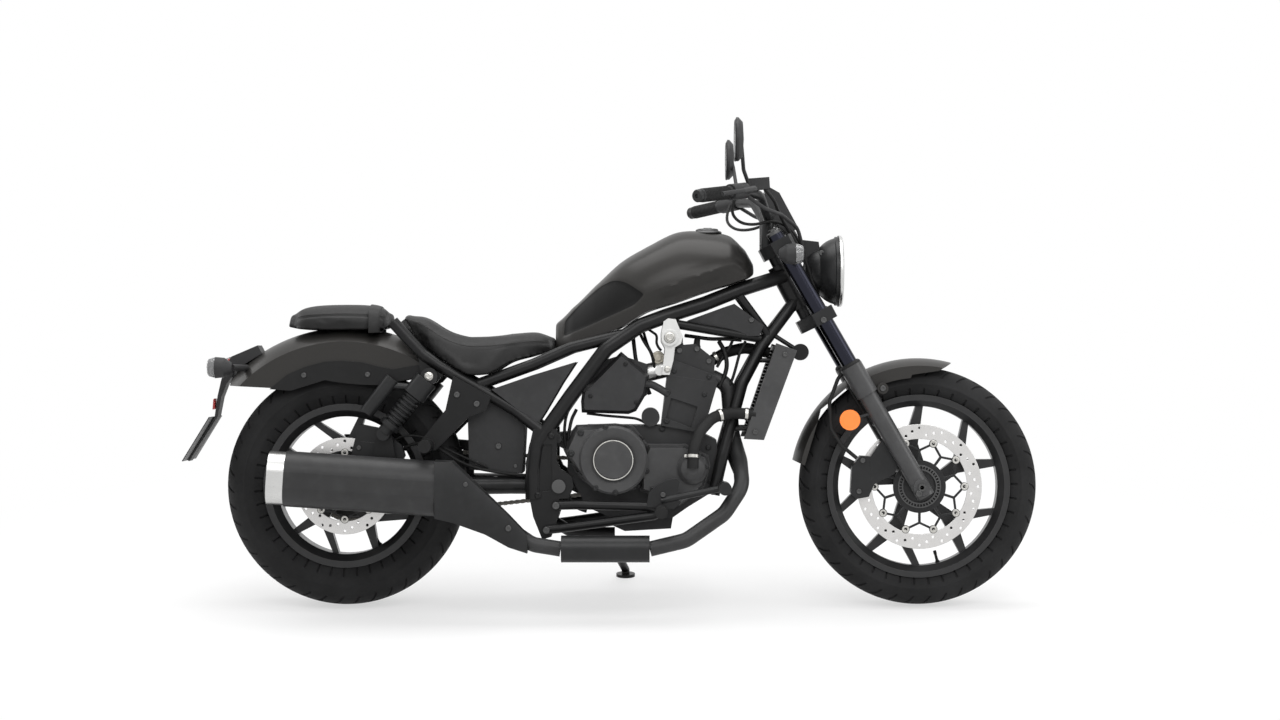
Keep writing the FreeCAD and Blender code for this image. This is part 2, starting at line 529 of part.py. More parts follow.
def loft(name, straight=False):
    body = doc.addObject("PartDesign::Body", name + "_shell")
    sections = []
    for count in range(1, len(LOFTS[name]) + 1):
        start = f"{name}_station{count}_"
        foot, top = size(start + "foot_half"), size(start + "top_half")
        low, high = size(start + "foot_z"), size(start + "shoulder_z")
        bulge, crown = size(start + "bulge"), size(start + "crown")
        corners = [(-foot, low, None), (foot, low, bulge), (top, high, crown), (-top, high, bulge)]
        sections.append(add_sketch(body, f"{name}_section{count}", "YZ_Plane", corners,
                                   size(start + "x")))
    skin = body.newObject("PartDesign::AdditiveLoft", name + "_skin")
    skin.Profile = sections[0]
    skin.Sections = sections[1:]
    skin.Ruled = straight
    return body


def fuse(name, *items):
    item = doc.addObject("Part::MultiFuse", name)
    item.Shapes = list(items)
    item.Refine = True
    return item


def cut(name, base, *tools):
    item = doc.addObject("Part::Cut", name)
    item.Base = base
    item.Tool = tools[0] if len(tools) == 1 else fuse(name + "_tools", *tools)
    item.Refine = True
    return item


def common(name, first, second):
    item = doc.addObject("Part::Common", name)
    item.Base = first
    item.Tool = second
    item.Refine = True
    return item


def mirrored(item):
    other = doc.addObject("Part::Mirroring", item.Name + "_mirror")
    other.Source = item
    other.Normal = (0, 1, 0)
    return other


def pair(item):
    return [item, mirrored(item)]


def node(label, *pieces):
    item = doc.addObject("Part::Compound", label)
    item.Label = label
    item.Links = list(pieces)
    item.Placement = Placement(Vector(), Rotation(Vector(1, 0, 0), -LEAN_ANGLE))
    nodes.append(item)
    return item


def ring_point(centre, radius, angle, y):
    turn = math.radians(angle)
    return (centre[0] + radius * math.cos(turn), as_size(y), centre[2] + radius * math.sin(turn))


def spoke_corners(start, angles):
    radii = [size(start + word) for word in ("root", "fork", "tip", "tip", "crotch", "tip", "tip",
                                             "outer", "root")]
    turns = [math.radians(angle) for angle in angles]
    return [(radius * math.cos(turn), radius * math.sin(turn), None)
            for radius, turn in zip(radii, turns)]


def wheel(start, centre, angles, first_angle, half):
    rim = turned(start + "rim", outline(start + "rim"), centre)
    hub = turned(start + "hub", outline(start + "hub"), centre)
    spokes = []
    for count in range(SPOKES):
        spoke = slab(f"{start}spoke{count}", spoke_corners(start + "spoke_", angles), half * 2,
                     as_size(0))
        place(spoke, centre, Rotation(Vector(0, 1, 0), -(first_angle + count * 360 / SPOKES)))
        spokes.append(spoke)
    bore = cross_rod(start + "bore", centre[0], centre[2], -size("front_axle_half"),
                     size("front_axle_half"), size("axle_radius") + size("axle_play"))
    return cut(start + "wheel_solid", fuse(start + "wheel_raw", hub, *spokes, rim), bore)


def brake_disc(start, centre, y, circle, radius, holes):
    middle = (centre[0], y, centre[2])
    parts = [turned(start + "ring", outline(start + "ring"), middle),
             turned(start + "carrier", outline(start + "carrier"), middle)]
    half = size("disc_thickness") / 2
    for count in range(holes):
        point = ring_point(centre, circle, 360 * count / holes, y)
        parts.append(cross_rod(f"{start}bobbin{count}", point[0], point[2], y - half, y + half, radius))
    return fuse(start + "disc_solid", *parts)


def wheels():
    front = (size("front_axle_x"), as_size(0), size("front_axle_z"))
    rear = (as_size(0), as_size(0), size("rear_axle_z"))
    node("front_tyre", turned("front_tyre_ring", outline("front_tyre"), front))
    node("rear_tyre", turned("rear_tyre_ring", outline("rear_tyre"), rear))
    angles = (-45, -8.5, -12, -7, 3.5, 25, 30, 9.5, 5)
    node("front_wheel", wheel("front_", front, angles, 26, size("front_spoke_half")))
    angles = (-45, -9, -10.5, -5.5, 4, 28.5, 33.5, 11, 5)
    node("rear_wheel", wheel("rear_", rear, angles, 14, size("rear_spoke_half")))
    node("front_brake_disc", brake_disc("front_", front, size("front_disc_y"),
                                        size("bobbin_circle"), size("bobbin_radius"), 10))
    node("rear_brake_disc", brake_disc("rear_", rear, size("rear_disc_y"),
                                       size("rear_bobbin_circle"), size("rear_bobbin_radius"), 6))
    node("rear_sprocket", turned("sprocket_wheel", outline("sprocket"), rear))


def fork_point(z, y):
    lean = math.tan(math.radians(FORK_ANGLE))
    return (size("front_axle_x") - (z - size("front_axle_z")) * lean, y, z)


def steering_point(z):
    return (size("steering_x") - z * math.tan(math.radians(RAKE_ANGLE)), as_size(0), z)


def steering():
    y = size("fork_y")
    rake = Rotation(Vector(0, 1, 0), -RAKE_ANGLE)
    foot, top = size("fork_foot_z"), size("slider_top_z")
    axle_x, axle_z = size("front_axle_x"), size("front_axle_z")
    slider = fuse("slider",
                  rod("slider_leg", fork_point(foot, y), fork_point(top, y), size("slider_radius")),
                  rod("slider_collar", fork_point(top, y), fork_point(size("collar_top_z"), y),
                      size("collar_radius")),
                  cross_rod("axle_lug", axle_x, axle_z, size("axle_lug_inner"),
                            size("axle_lug_outer"), size("axle_lug_radius")))
    axle = cross_rod("axle_bar", axle_x, axle_z, -size("front_axle_half"), size("front_axle_half"),
                     size("axle_radius"))
    spacer = cross_rod("axle_spacer", axle_x, axle_z, size("front_hub_end") + size("axle_play"),
                       size("axle_lug_inner"), size("axle_radius") * 1.7)
    hollow = cross_rod("axle_hollow", axle_x, axle_z, -size("front_axle_half"), size("front_axle_half"),
                       size("axle_hollow_radius"))
    node("front_axle", cut("front_axle_solid", fuse("front_axle_raw", axle, *pair(spacer)), hollow))
    legs = [cut("slider_left", slider, axle), cut("slider_right", mirrored(slider), axle)]
    node("fork_sliders", *legs)
    stanchion = rod("stanchion", fork_point(size("collar_top_z"), y),
                    fork_point(size("stanchion_top_z"), y), size("stanchion_radius"))
    tubes = pair(stanchion)
    node("fork_tubes", *tubes)
    thick = size("yoke_thickness")
    lower = block("lower_yoke", outline("lower_yoke"), thick, steering_point(size("lower_yoke_z") - thick / 2),
                  rake)
    upper = block("upper_yoke", outline("upper_yoke"), thick, steering_point(size("upper_yoke_z")), rake)
    stem = rod("stem", steering_point(size("lower_yoke_z")), steering_point(size("upper_yoke_z")),
               size("stem_radius"))
    nut = turned("stem_nut", outline("stem_nut"), steering_point(size("upper_yoke_z") + thick * 0.88),
                 Vector(0, 0, 1))
    nut.Placement = Placement(nut.Placement.Base,
                              rake.multiply(Rotation(Vector(0, 1, 0), Vector(0, 0, 1))))
    yokes = cut("yokes_solid", fuse("yokes_raw", lower, upper, stem, nut), *tubes)
    node("fork_yokes", yokes)

    bar = path("handlebar")
    left = tube("bar_left", bar, size("bar_radius"), size("bar_bend"))
    end, before = vector(bar[-1]), vector(bar[-2])
    aim = (end - before).normalize()
    riser = rod("riser", (size("handlebar_bend1_x"), size("riser_y"), size("riser_foot_z")),
                (size("handlebar_bend1_x"), size("riser_y"), size("riser_top_z")), size("riser_radius"))
    bore = rod("bar_bore", tuple(as_size(value) for value in end - aim * size("bar_bore_depth").number),
               bar[-1], size("bar_bore_radius"))
    bar_raw = fuse("bar_raw", left, mirrored(left), *pair(riser))
    handlebar = cut("handlebar_solid", bar_raw, yokes, *pair(bore))
    node("handlebar", handlebar)
    grip_start = end - aim * size("grip_length").number
    grip = cut("grip_left", rod("grip_sleeve", tuple(as_size(value) for value in grip_start), bar[-1],
                                size("grip_radius")), left)
    node("grips", *pair(grip))

    lamp = (size("lamp_x"), as_size(0), size("lamp_z"))
    shell = turned("lamp_bowl", outline("lamp_shell"), lamp, Vector(1, 0, 0))
    bracket = slab("lamp_stay", outline("lamp_bracket"), size("lamp_stay_width"), as_size(0))
    ring = turned("lamp_rim", outline("lamp_ring"), lamp, Vector(1, 0, 0))
    node("headlight", fuse("headlight_solid", shell, ring, cut("lamp_stay_cut", bracket, yokes)))
    node("headlight_lens", turned("lamp_glass", outline("lamp_lens"), lamp, Vector(1, 0, 0)))
    node("instrument", cut("meter_solid", slab("meter", outline("instrument"), size("instrument_width"), as_size(0)),
                           handlebar, yokes))


def frame(stand_parts):
    low, high = steering_point(size("head_low_z")), steering_point(size("head_high_z"))
    bore = rod("head_bore", low, high, size("stem_bore_radius"))
    tubes = []
    for name, radius in (("main_tube", "main_tube_radius"), ("seat_rail", "rail_radius"),
                         ("rear_loop", "loop_radius"), ("down_tube", "down_tube_radius"),
                         ("brace", "brace_radius"), ("strut", "brace_radius")):
        tubes += pair(tube(name, path(name), size(radius), size("tube_bend")))
    tubes.append(tube("stand_rail", path("stand_rail"), size("down_tube_radius"), size("tube_bend")))
    plate_y, plate_thick = size("pivot_plate_y"), size("pivot_plate_thickness")
    recess = slab("plate_recess", outline("plate_recess"), size("recess_depth") * 2,
                  plate_y + plate_thick / 2)
    plate = cut("pivot_plate_cut", slab("pivot_plate", outline("pivot_plate"), plate_thick, plate_y), recess)
    bracket = slab("low_bracket", outline("low_bracket"), plate_thick, plate_y)
    tubes += pair(plate) + pair(bracket)
    tubes += pair(slab("shock_lug", outline("shock_lug"), size("brace_radius"), size("rear_loop_bend1_y")))
    for name in ("engine_cross", "tank_cross", "seat_cross", "loop_cross"):
        half = size(name + "_half")
        tubes.append(cross_rod(name, size(name + "_x"), size(name + "_z"), -half, half,
                               size("cross_radius")))
    tubes.append(cross_rod("low_cross", size("low_cross_x"), size("low_cross_z"), -plate_y, plate_y,
                           size("cross_radius")))
    for name in ("top_mount", "low_mount"):
        x, y, z = (size(f"{name}_{letter}") for letter in "xyz")
        tubes += pair(rod(name, (x, y, z), (x + size(name + "_reach"), y, z), size("stay_radius")))
    horn_middle = -(size("horn_inner") + size("horn_outer")) / 2
    tubes.append(cross_rod("horn", size("horn_x"), size("horn_z"), -size("horn_outer"),
                           -size("horn_inner"), size("horn_radius")))
    tubes.append(rod("horn_stay", (size("horn_stay_x"), -size("horn_stay_y"), size("horn_stay_z")),
                     (size("horn_x"), horn_middle, size("horn_z")), size("stay_radius")))
    head = rod("head_tube", low, high, size("head_radius"))
    pivot = cross_rod("pivot_hole", size("pivot_x"), size("pivot_z"), -size("front_axle_half") * 2,
                      size("front_axle_half") * 2, size("pivot_bolt_radius"))
    solid = cut("frame_solid", fuse("frame_raw", head, *tubes, *stand_parts), bore, pivot)
    node("frame", solid)
    return solid


def engine(frame_solid):
    half = size("case_half")
    plate_inner = size("pivot_plate_y") - size("pivot_plate_thickness") / 2
    case = fuse("case_raw", slab("case_block", outline("crankcase"), half * 2, as_size(0)),
                slab("oil_pan", outline("oil_pan"), size("pan_half") * 2, as_size(0)),
                cross_rod("case_ear", size("ear_x"), size("ear_z"), -plate_inner, plate_inner,
                          size("cross_radius")),
                cross_rod("starter", size("starter_x"), size("starter_z"), -size("starter_end"),
                          size("starter_root"), size("starter_radius")), drive_sprocket())
    case = cut("case_solid", case, frame_solid)
    node("crankcase", case)
    upper_engine(frame_solid)
    engine_covers(frame_solid, case)
    intake(frame_solid)


def upper_engine(frame_solid):
    block_half = size("block_half")
    window = slab("block_window", outline("block_window"), size("window_depth") * 2, -block_half)
    block = cut("block_solid", slab("block_raw", outline("cylinder_block"), block_half * 2, as_size(0)),
                *pair(window))
    node("cylinder_block", block)
    head = fuse("head_solid", slab("head_raw", outline("cylinder_head"), block_half * 2, as_size(0)),
                slab("cam_cover", outline("cam_cover"), size("cam_cover_half") * 2, as_size(0)))
    node("cylinder_head", head)
    thick = size("hanger_thickness")
    inner = block_half + size("seat_gap")
    plate = slab("hanger_plate", outline("hanger"), thick, inner + thick / 2)
    bolt = cross_rod("hanger_bolt", size("hanger_bolt_x"), size("hanger_bolt_z"), inner,
                     inner + thick * 2, size("hanger_bolt_radius"))
    hanger = cut("hanger_solid", fuse("hanger_raw", plate, bolt), frame_solid)
    node("engine_hangers", *pair(hanger))


def engine_covers(frame_solid, case):
    half = size("case_half")
    flange = size("cover_flange")
    clutch = (size("clutch_x"), -half - size("cover_rise"), size("clutch_z"))
    pump = (size("pump_x"), -half - size("front_cover_rise"), size("pump_z"))
    right_side = Vector(0, -1, 0)
    right = fuse("right_cover_raw",
                 slab("right_cover_flange", outline("right_cover"), flange, -half - flange / 2),
                 slab("right_front_flange", outline("right_front_cover"), flange, -half - flange / 2),
                 tapered("right_cover_body", outline("right_cover"), size("cover_rise"), -half),
                 tapered("right_front_body", outline("right_front_cover"), size("front_cover_rise"), -half),
                 turned("clutch_dome", outline("clutch_dome"), clutch, right_side),
                 turned("pump_dome", outline("pump_dome"), pump, right_side))
    right = cut("right_cover_solid", right, frame_solid, case)
    node("right_engine_cover", right)
    left = fuse("left_cover_raw",
                slab("left_cover_plate", outline("left_cover"), size("left_cover_thickness"),
                     size("left_cover_y")),
                turned("rotor_dome", outline("rotor_dome"), (size("rotor_x"), half, size("rotor_z"))))
    node("left_engine_cover", cut("left_cover_solid", left, frame_solid, case))


def intake(frame_solid):
    block, head = doc.getObject("block_solid"), doc.getObject("head_solid")
    half, depth = size("airbox_half"), size("airbox_cover_depth")
    cover = tapered("airbox_cover", outline("airbox"), depth, -half)
    box = fuse("airbox_raw", slab("airbox_body", outline("airbox_body"), half * 2, as_size(0)),
               *pair(cover), tube("breather", path("breather"), size("breather_radius"),
                                  size("small_bend")))
    box = cut("airbox_solid", box, frame_solid, block, head)
    node("air_cleaner_covers", box)
    y = size("throttle_y")
    throat = rod("throttle_throat", (size("port_x"), y, size("port_z")),
                 (size("inlet_x"), y, size("inlet_z")), size("throttle_radius"))
    rail = cross_rod("fuel_rail", size("rail_x"), size("rail_z"), -size("rail_half"), size("rail_half"),
                     size("cross_radius"))
    node("throttle_bodies", cut("throttle_solid", fuse("throttle_raw", *pair(throat), rail),
                                head, block, box))


def cooling(frame_solid):
    side = slab("radiator_cover", outline("radiator_side"), size("radiator_cover_width"),
                size("radiator_width") / 2 + size("radiator_cover_width") / 2)
    sides = [cut("radiator_side_left", side, frame_solid),
             cut("radiator_side_right", mirrored(side), frame_solid)]
    tilt = Rotation(Vector(0, 1, 0), RADIATOR_TILT_ANGLE)
    up = tilt.multVec(Vector(0, 0, 1))
    foot = (size("radiator_foot_x"), as_size(0), size("radiator_foot_z"))
    half, tank = size("radiator_width") / 2, size("radiator_tank")
    depth, height, bar = size("radiator_depth"), size("radiator_height"), size("radiator_bar")
    core_rear, core_front = size("radiator_core_rear"), size("radiator_core_front")

    def along(distance):
        return tuple(value + distance * share for value, share in zip(foot, up))

    def plan(rear, front, low, high):
        return [(rear, low, None), (front, low, None), (front, high, None), (rear, high, None)]

    rows = [block("radiator_core", plan(core_rear, core_front, -half, half), height, foot, tilt),
            block("radiator_left_tank", plan(as_size(0), depth, half - tank, half), height, foot, tilt),
            block("radiator_right_tank", plan(as_size(0), depth, -half, tank - half), height, foot, tilt),
            block("radiator_low_bar", plan(as_size(0), depth, -half, half), bar, foot, tilt),
            block("radiator_high_bar", plan(as_size(0), depth, -half, half), bar, along(height - bar), tilt)]
    for count in range(FIN_ROWS):
        rows.append(block(f"radiator_fin{count}", plan(as_size(0), depth, -half, half),
                          size("radiator_fin_thickness"),
                          along(bar + size("radiator_fin_pitch") * (count + 1)), tilt))
    radiator = cut("radiator_solid", fuse("radiator_raw", *rows), frame_solid, *sides)
    node("radiator", radiator)
    node("radiator_covers", *sides)
    cover, head = doc.getObject("right_cover_solid"), doc.getObject("head_solid")
    radius, bend = size("hose_outer_radius"), size("tube_bend")
    low = cut("low_hose_solid", tube("low_coolant_hose", path("low_coolant_hose"), radius, bend),
              cover, sides[1], radiator, frame_solid)
    top = cut("top_hose_solid", tube("top_coolant_hose", path("top_coolant_hose"), radius, bend),
              head, radiator, frame_solid)
    node("coolant_hoses", low, top)


def bodywork(frame_solid):
    ring = turned("rear_guard_ring", outline("rear_fender_ring"),
                  (as_size(0), as_size(0), size("rear_axle_z")))
    core = turned("rear_guard_core", outline("rear_fender_core"),
                  (as_size(0), as_size(0), size("rear_axle_z")))
    side = slab("rear_guard_side", outline("rear_fender_side"), size("front_axle_half") * 2, as_size(0))
    guard = cut("rear_guard", common("rear_guard_raw", ring, side), frame_solid)
    node("rear_fender", guard)
    tank = cut("tank_solid", loft("tank"), frame_solid)
    node("fuel_tank", tank)
    cap = turned("filler", outline("cap"), (size("tank_station7_x"), as_size(0),
                                            size("tank_station7_shoulder_z")
                                            + size("tank_station7_crown") - size("seat_gap") * 4),
                 Vector(0, 0, 1))
    node("fuel_filler_cap", cut("filler_solid", cap, tank))
    pillion = cut("pillion_pad", loft("pillion_seat"), core, frame_solid)
    node("passenger_seat", pillion)
    node("rider_seat", cut("rider_pad", loft("rider_seat"), core, frame_solid, tank, pillion))
    cover = slab("side_cover", outline("side_cover"), size("side_cover_thickness"), size("side_cover_y"))
    panel = slab("front_panel", outline("front_panel"), size("front_panel_thickness"),
                 size("front_panel_y"))
    node("side_covers", *pair(cut("side_cover_trim", cover, frame_solid)),
         *pair(cut("front_panel_trim", panel, frame_solid)))
    box = slab("electrics_raw", outline("battery_box"), size("electrics_width"), size("electrics_y"))
    boss = cross_rod("electrics_boss", size("electrics_boss_x"), size("electrics_boss_z"),
                     -size("rear_loop_bend1_y"), size("rear_loop_bend1_y"), size("cross_radius"))
    node("electrics_box", cut("electrics", fuse("electrics_set", box, boss), frame_solid))
    stay = slab("fender_stay", outline("fender_stay"), size("stay_sheet"),
                size("rear_fender_ring_corner3_v") + size("stay_sheet") / 2)
    node("fender_stays", *pair(cut("fender_stay_trim", stay, frame_solid, guard)))
    bracket = slab("peg_plate", outline("peg_bracket"), size("peg_plate_thickness"),
                   size("rear_loop_bend1_y") + size("loop_radius"))
    peg = cross_rod("pillion_peg", size("pillion_peg_x"), size("pillion_peg_z"),
                    size("rear_loop_bend1_y"), size("pillion_peg_end"), size("grip_radius"))
    peg_set = fuse("pillion_peg_set", bracket, peg)
    node("passenger_pegs", *pair(cut("pillion_peg_trim", peg_set, frame_solid)))
    lamp = slab("tail_lamp_block", outline("tail_lamp"), size("tail_lamp_width"), as_size(0))
    lamp = cut("tail_lamp_solid", lamp, core)
    arm = slab("plate_arm", outline("plate_arm"), size("plate_arm_width"), as_size(0))
    arm = cut("plate_arm_solid", arm, guard, lamp)
    node("plate_bracket", arm)
    node("number_plate", cut("plate_solid", slab("plate_sheet", outline("plate"), size("plate_half") * 2,
                                                 as_size(0)), arm))
    back = (size("rear_signal_x"), size("rear_signal_y"), size("rear_signal_z"))
    bulb = turned("rear_signal", outline("indicator"), back, Vector(-1, 0, 0))
    post = rod("rear_signal_post", (size("rear_post_x"), size("rear_post_y"), size("rear_post_z")),
               back, size("pivot_bolt_radius"))
    signal = cut("rear_signal_solid", fuse("rear_signal_raw", bulb, post), core, lamp, guard)
    node("rear_lamps", lamp, *pair(signal))


def spring_rows():
    bar, wire = size("shock_body_radius"), size("coil_wire_radius")
    rows = [(as_size(0), as_size(0), None)]
    for count in range(COIL_TURNS):
        height = size("coil_pitch") * count
        rows += [(bar, height, None), (bar + wire, height + wire / 2, None),
                 (bar + wire, height + wire * 3 / 2, None), (bar, height + wire * 2, None)]
    rows.append((as_size(0), size("coil_pitch") * (COIL_TURNS - 1) + wire * 2, None))
    return rows


def swing_arm(frame_solid):
    leg = tube("swing_arm_leg", path("swing_arm"), size("arm_radius"), size("tube_bend"))
    axle_x, axle_z = as_size(0), size("rear_axle_z")
    lug = cross_rod("rear_axle_lug", axle_x, axle_z, size("rear_lug_inner"), size("rear_lug_outer"),
                    size("rear_lug_radius"))
    foot = slab("shock_foot", outline("shock_foot"), size("brace_radius"), size("swing_arm_bend1_y"))
    plate = slab("arm_plate", outline("arm_plate"), size("arm_plate_thickness"), size("arm_plate_y"))
    bridge = cross_rod("arm_bridge", size("bridge_x"), size("bridge_z"), -size("bridge_half"),
                       size("bridge_half"), size("loop_radius"))
    pivot = cross_rod("arm_pivot", size("pivot_x"), size("pivot_z"), -size("pivot_sleeve_half"),
                      size("pivot_sleeve_half"), size("arm_radius"))
    guard = [slab("chain_guard_top", outline("chain_guard_top"), size("guard_width"), size("guard_y")),
             slab("chain_guard_side", outline("chain_guard_side"), size("guard_sheet"),
                  size("guard_side_y")),
             slab("chain_guard_post", outline("chain_guard_post"), size("guard_sheet"),
                  size("guard_side_y"))]
    axle = cross_rod("rear_axle_bar", axle_x, axle_z, -size("rear_axle_half"), size("rear_axle_half"),
                     size("axle_radius"))
    plate_outer = size("pivot_plate_y") + size("pivot_plate_thickness") / 2
    bolt_end = plate_outer + size("pivot_nut_height")
    bolt = cross_rod("pivot_bolt", size("pivot_x"), size("pivot_z"), -bolt_end, bolt_end,
                     size("pivot_bolt_radius"))
    nut = cross_rod("pivot_nut", size("pivot_x"), size("pivot_z"), plate_outer, bolt_end,
                    size("pivot_cap_radius"))
    axle_nut = cross_rod("rear_axle_nut", axle_x, axle_z, size("rear_lug_outer"), size("rear_axle_half"),
                         size("nut_radius"))
    spacers = [cross_rod("rear_spacer_left", axle_x, axle_z, size("rear_sprocket_end"),
                         size("rear_lug_inner"), size("nut_radius")),
               cross_rod("rear_spacer_right", axle_x, axle_z, -size("rear_lug_inner"),
                         -size("rear_hub_right_end") - size("axle_play"), size("nut_radius"))]
    axle_solid = fuse("rear_axle_solid", axle, *spacers, *pair(axle_nut))
    node("rear_axle_and_pivot_bolt", axle_solid, fuse("pivot_bolt_solid", bolt, *pair(nut)))
    arms = fuse("arm_raw", *pair(fuse("arm_leg_raw", leg, lug, foot, plate)), bridge, pivot, *guard)
    arms = cut("arm_solid", arms, axle, bolt, frame_solid)
    node("swing_arm", arms)
    return arms, axle_solid


def rear_end(frame_solid):
    arms, axle_solid = swing_arm(frame_solid)
    y = size("shock_y")
    top = (size("shock_top_x"), y, size("shock_top_z"))
    low = (size("shock_low_x"), y, size("shock_low_z"))
    half = size("shock_eye_half")
    cap_top, cap_low, foot = (between(top, low, share) for share in SHOCK_SHARES)
    collar = [between(top, low, share) for share in COLLAR_SHARES]
    link = between(top, low, LINK_SHARE)
    parts = [cross_rod("shock_top_eye", top[0], top[2], y - half, y + half, size("shock_eye_radius")),
             cross_rod("shock_low_eye", low[0], low[2], y - half, y + half, size("stand_eye_radius")),
             rod("shock_cap", cap_top, cap_low, size("shock_cap_radius")),
             rod("shock_body", cap_low, foot, size("shock_body_radius")),
             rod("shock_collar", *collar, size("shock_collar_radius")),
             turned("shock_spring", spring_rows(), cap_low, vector(low) - vector(top)),
             rod("reservoir", (size("reservoir_top_x"), y, size("reservoir_top_z")),
                 (size("reservoir_low_x"), y, size("reservoir_low_z")), size("reservoir_radius")),
             rod("reservoir_link", link, (size("reservoir_top_x"), y, size("reservoir_link_z")),
                 size("pivot_bolt_radius"))]
    shock = fuse("shock_raw", *parts)
    node("rear_shocks", *pair(cut("shock_solid", shock, frame_solid, arms)))

    caliper = slab("rear_caliper_raw", outline("rear_caliper"), size("rear_caliper_width"),
                   size("rear_caliper_y"))
    plate = slab("caliper_plate", outline("caliper_plate"), size("caliper_plate_thickness"),
                 size("caliper_plate_y"))
    gap = size("disc_thickness") + size("caliper_gap") * 2
    slot = cross_rod("rear_caliper_slot", as_size(0), size("rear_axle_z"), size("rear_disc_y") - gap / 2,
                     size("rear_disc_y") + gap / 2, size("rear_ring_corner2_u") + size("caliper_gap"))
    node("rear_brake_caliper", cut("rear_caliper_solid", fuse("rear_caliper_set", caliper, plate), slot,
                                   arms, axle_solid, frame_solid))
    chain()


def chain():
    """Links round both sprockets, waisted between the pins."""
    rear_z, gap_x = size("rear_axle_z").number, size("drive_x").number
    gap_z = size("drive_z").number - rear_z
    half, waist = size("chain_height").number / 2, size("chain_waist").number
    gap = size("seat_gap").number
    rear = size("sprocket_radius").number + gap + half
    front = size("drive_radius").number + gap + half
    span = math.hypot(gap_x, gap_z)
    base, slope = math.atan2(gap_z, gap_x), math.asin((rear - front) / span)
    straight = math.sqrt(span ** 2 - (rear - front) ** 2)
    rear_run, front_run = rear * (math.pi + 2 * slope), front * (math.pi - 2 * slope)
    total = rear_run + front_run + straight * 2

    def point(distance, offset):
        distance %= total
        if distance < rear_run:
            turn = base + math.pi / 2 - slope + distance / rear
            return Vector((rear + offset) * math.cos(turn), 0, rear_z + (rear + offset) * math.sin(turn))
        distance -= rear_run
        turn = base - math.pi / 2 + slope
        if distance < straight:
            ahead = turn + math.pi / 2
            return Vector((rear + offset) * math.cos(turn) + distance * math.cos(ahead), 0,
                          rear_z + (rear + offset) * math.sin(turn) + distance * math.sin(ahead))
        distance -= straight
        if distance < front_run:
            turn += distance / front
            return Vector(gap_x + (front + offset) * math.cos(turn), 0,
                          rear_z + gap_z + (front + offset) * math.sin(turn))
        distance -= front_run
        turn = base + math.pi / 2 - slope
        back = turn + math.pi / 2
        return Vector(gap_x + (front + offset) * math.cos(turn) + distance * math.cos(back), 0,
                      rear_z + gap_z + (front + offset) * math.sin(turn) + distance * math.sin(back))

    pins = round(total / size("chain_pitch").number)
    outer = []
    for pin in range(pins):
        outer.append(point(total * pin / pins, half))
        outer.append(point(total * (pin + 1 / 2) / pins, half - waist))
    inner = []
    for start, run, radius in ((0, rear_run, rear), (rear_run + straight, front_run, front)):
        corner = (radius - half) / math.cos(run / radius / ARC_STEPS / 2)
        inner += [point(start + run * (step + 1 / 2) / ARC_STEPS, corner - radius)
                  for step in range(ARC_STEPS)]
    faces = [Part.Face(Part.makePolygon(rows + rows[:1])) for rows in (outer, inner)]
    width = size("chain_width").number
    item = doc.addObject("Part::Feature", "chain_links")
    item.Shape = faces[0].cut(faces[1]).extrude(Vector(0, width, 0))
    place(item, (as_size(0), size("chain_y") - size("chain_width") / 2, as_size(0)))
    node("drive_chain", item)


def drive_sprocket():
    gap_x, drive_z = size("drive_x"), size("drive_z")
    drive = cross_rod("drive_wheel", gap_x, drive_z, size("chain_y") - size("sprocket_thickness") / 2,
                      size("chain_y") + size("sprocket_thickness") / 2, size("drive_radius"))
    shaft = cross_rod("drive_shaft", gap_x, drive_z, size("case_half"),
                      size("chain_y") + size("sprocket_thickness"), size("stand_eye_radius"))
    return fuse("drive_solid", drive, shaft)


def exhaust(frame_solid, engine_solids):
    y = size("shield_y")
    pipe, bend = size("pipe_radius"), size("pipe_bend")
    header = fuse("header_raw", tube("header_pipe", path("header"), pipe, bend),
                  tube("left_header_pipe", path("left_header"), pipe, bend))
    tail = tube("tail_pipe", path("tail_pipe"), pipe, size("tube_bend"))
    front = (size("shield_front_x"), y, size("shield_z"))
    rear = (size("shield_rear_x"), y, size("shield_z"))
    shield = rod("shield", rear, front, size("shield_radius"))
    half_y, straight = size("muffler_half_width"), size("muffler_straight")
    bow = half_y * BOW_SHARE
    corners = [(-straight, -half_y, None), (straight, -half_y, bow),
               (straight, half_y, None), (-straight, half_y, bow)]
    slope = Rotation(Vector(0, 1, 0), 90 + MUFFLER_RISE_ANGLE)
    start = (size("muffler_rear_x"), size("muffler_y"), size("muffler_rear_z"))
    can = block("muffler_can", corners, size("muffler_length"), start, slope)
    duct = place(loft("duct", True), (as_size(0), size("muffler_y"), as_size(0)))
    node("exhaust_shield", cut("shield_solid", shield, header, tail),
         cut("duct_solid", duct, tail, can))
    node("exhaust_pipes", cut("header_solid", header, frame_solid, *engine_solids),
         cut("tail_solid", tail, shield))
    node("muffler", cut("muffler_solid", can, tail))
    cap_corners = [(u * CAP_SHARE, v * CAP_SHARE, None if rise is None else rise * CAP_SHARE)
                   for u, v, rise in corners]
    slope_back = Rotation(Vector(0, 1, 0), -90 + MUFFLER_RISE_ANGLE)
    depth = size("muffler_cap_length")
    tip = block("muffler_tip", cap_corners, depth, start, slope_back)
    hole = rod("muffler_hole", (start[0] - depth / 2, start[1], start[2]),
               (start[0] - depth * 2, start[1], start[2] + size("tip_hole_rise")),
               size("tip_hole_radius"))
    node("muffler_end", cut("muffler_tip_solid", tip, hole))


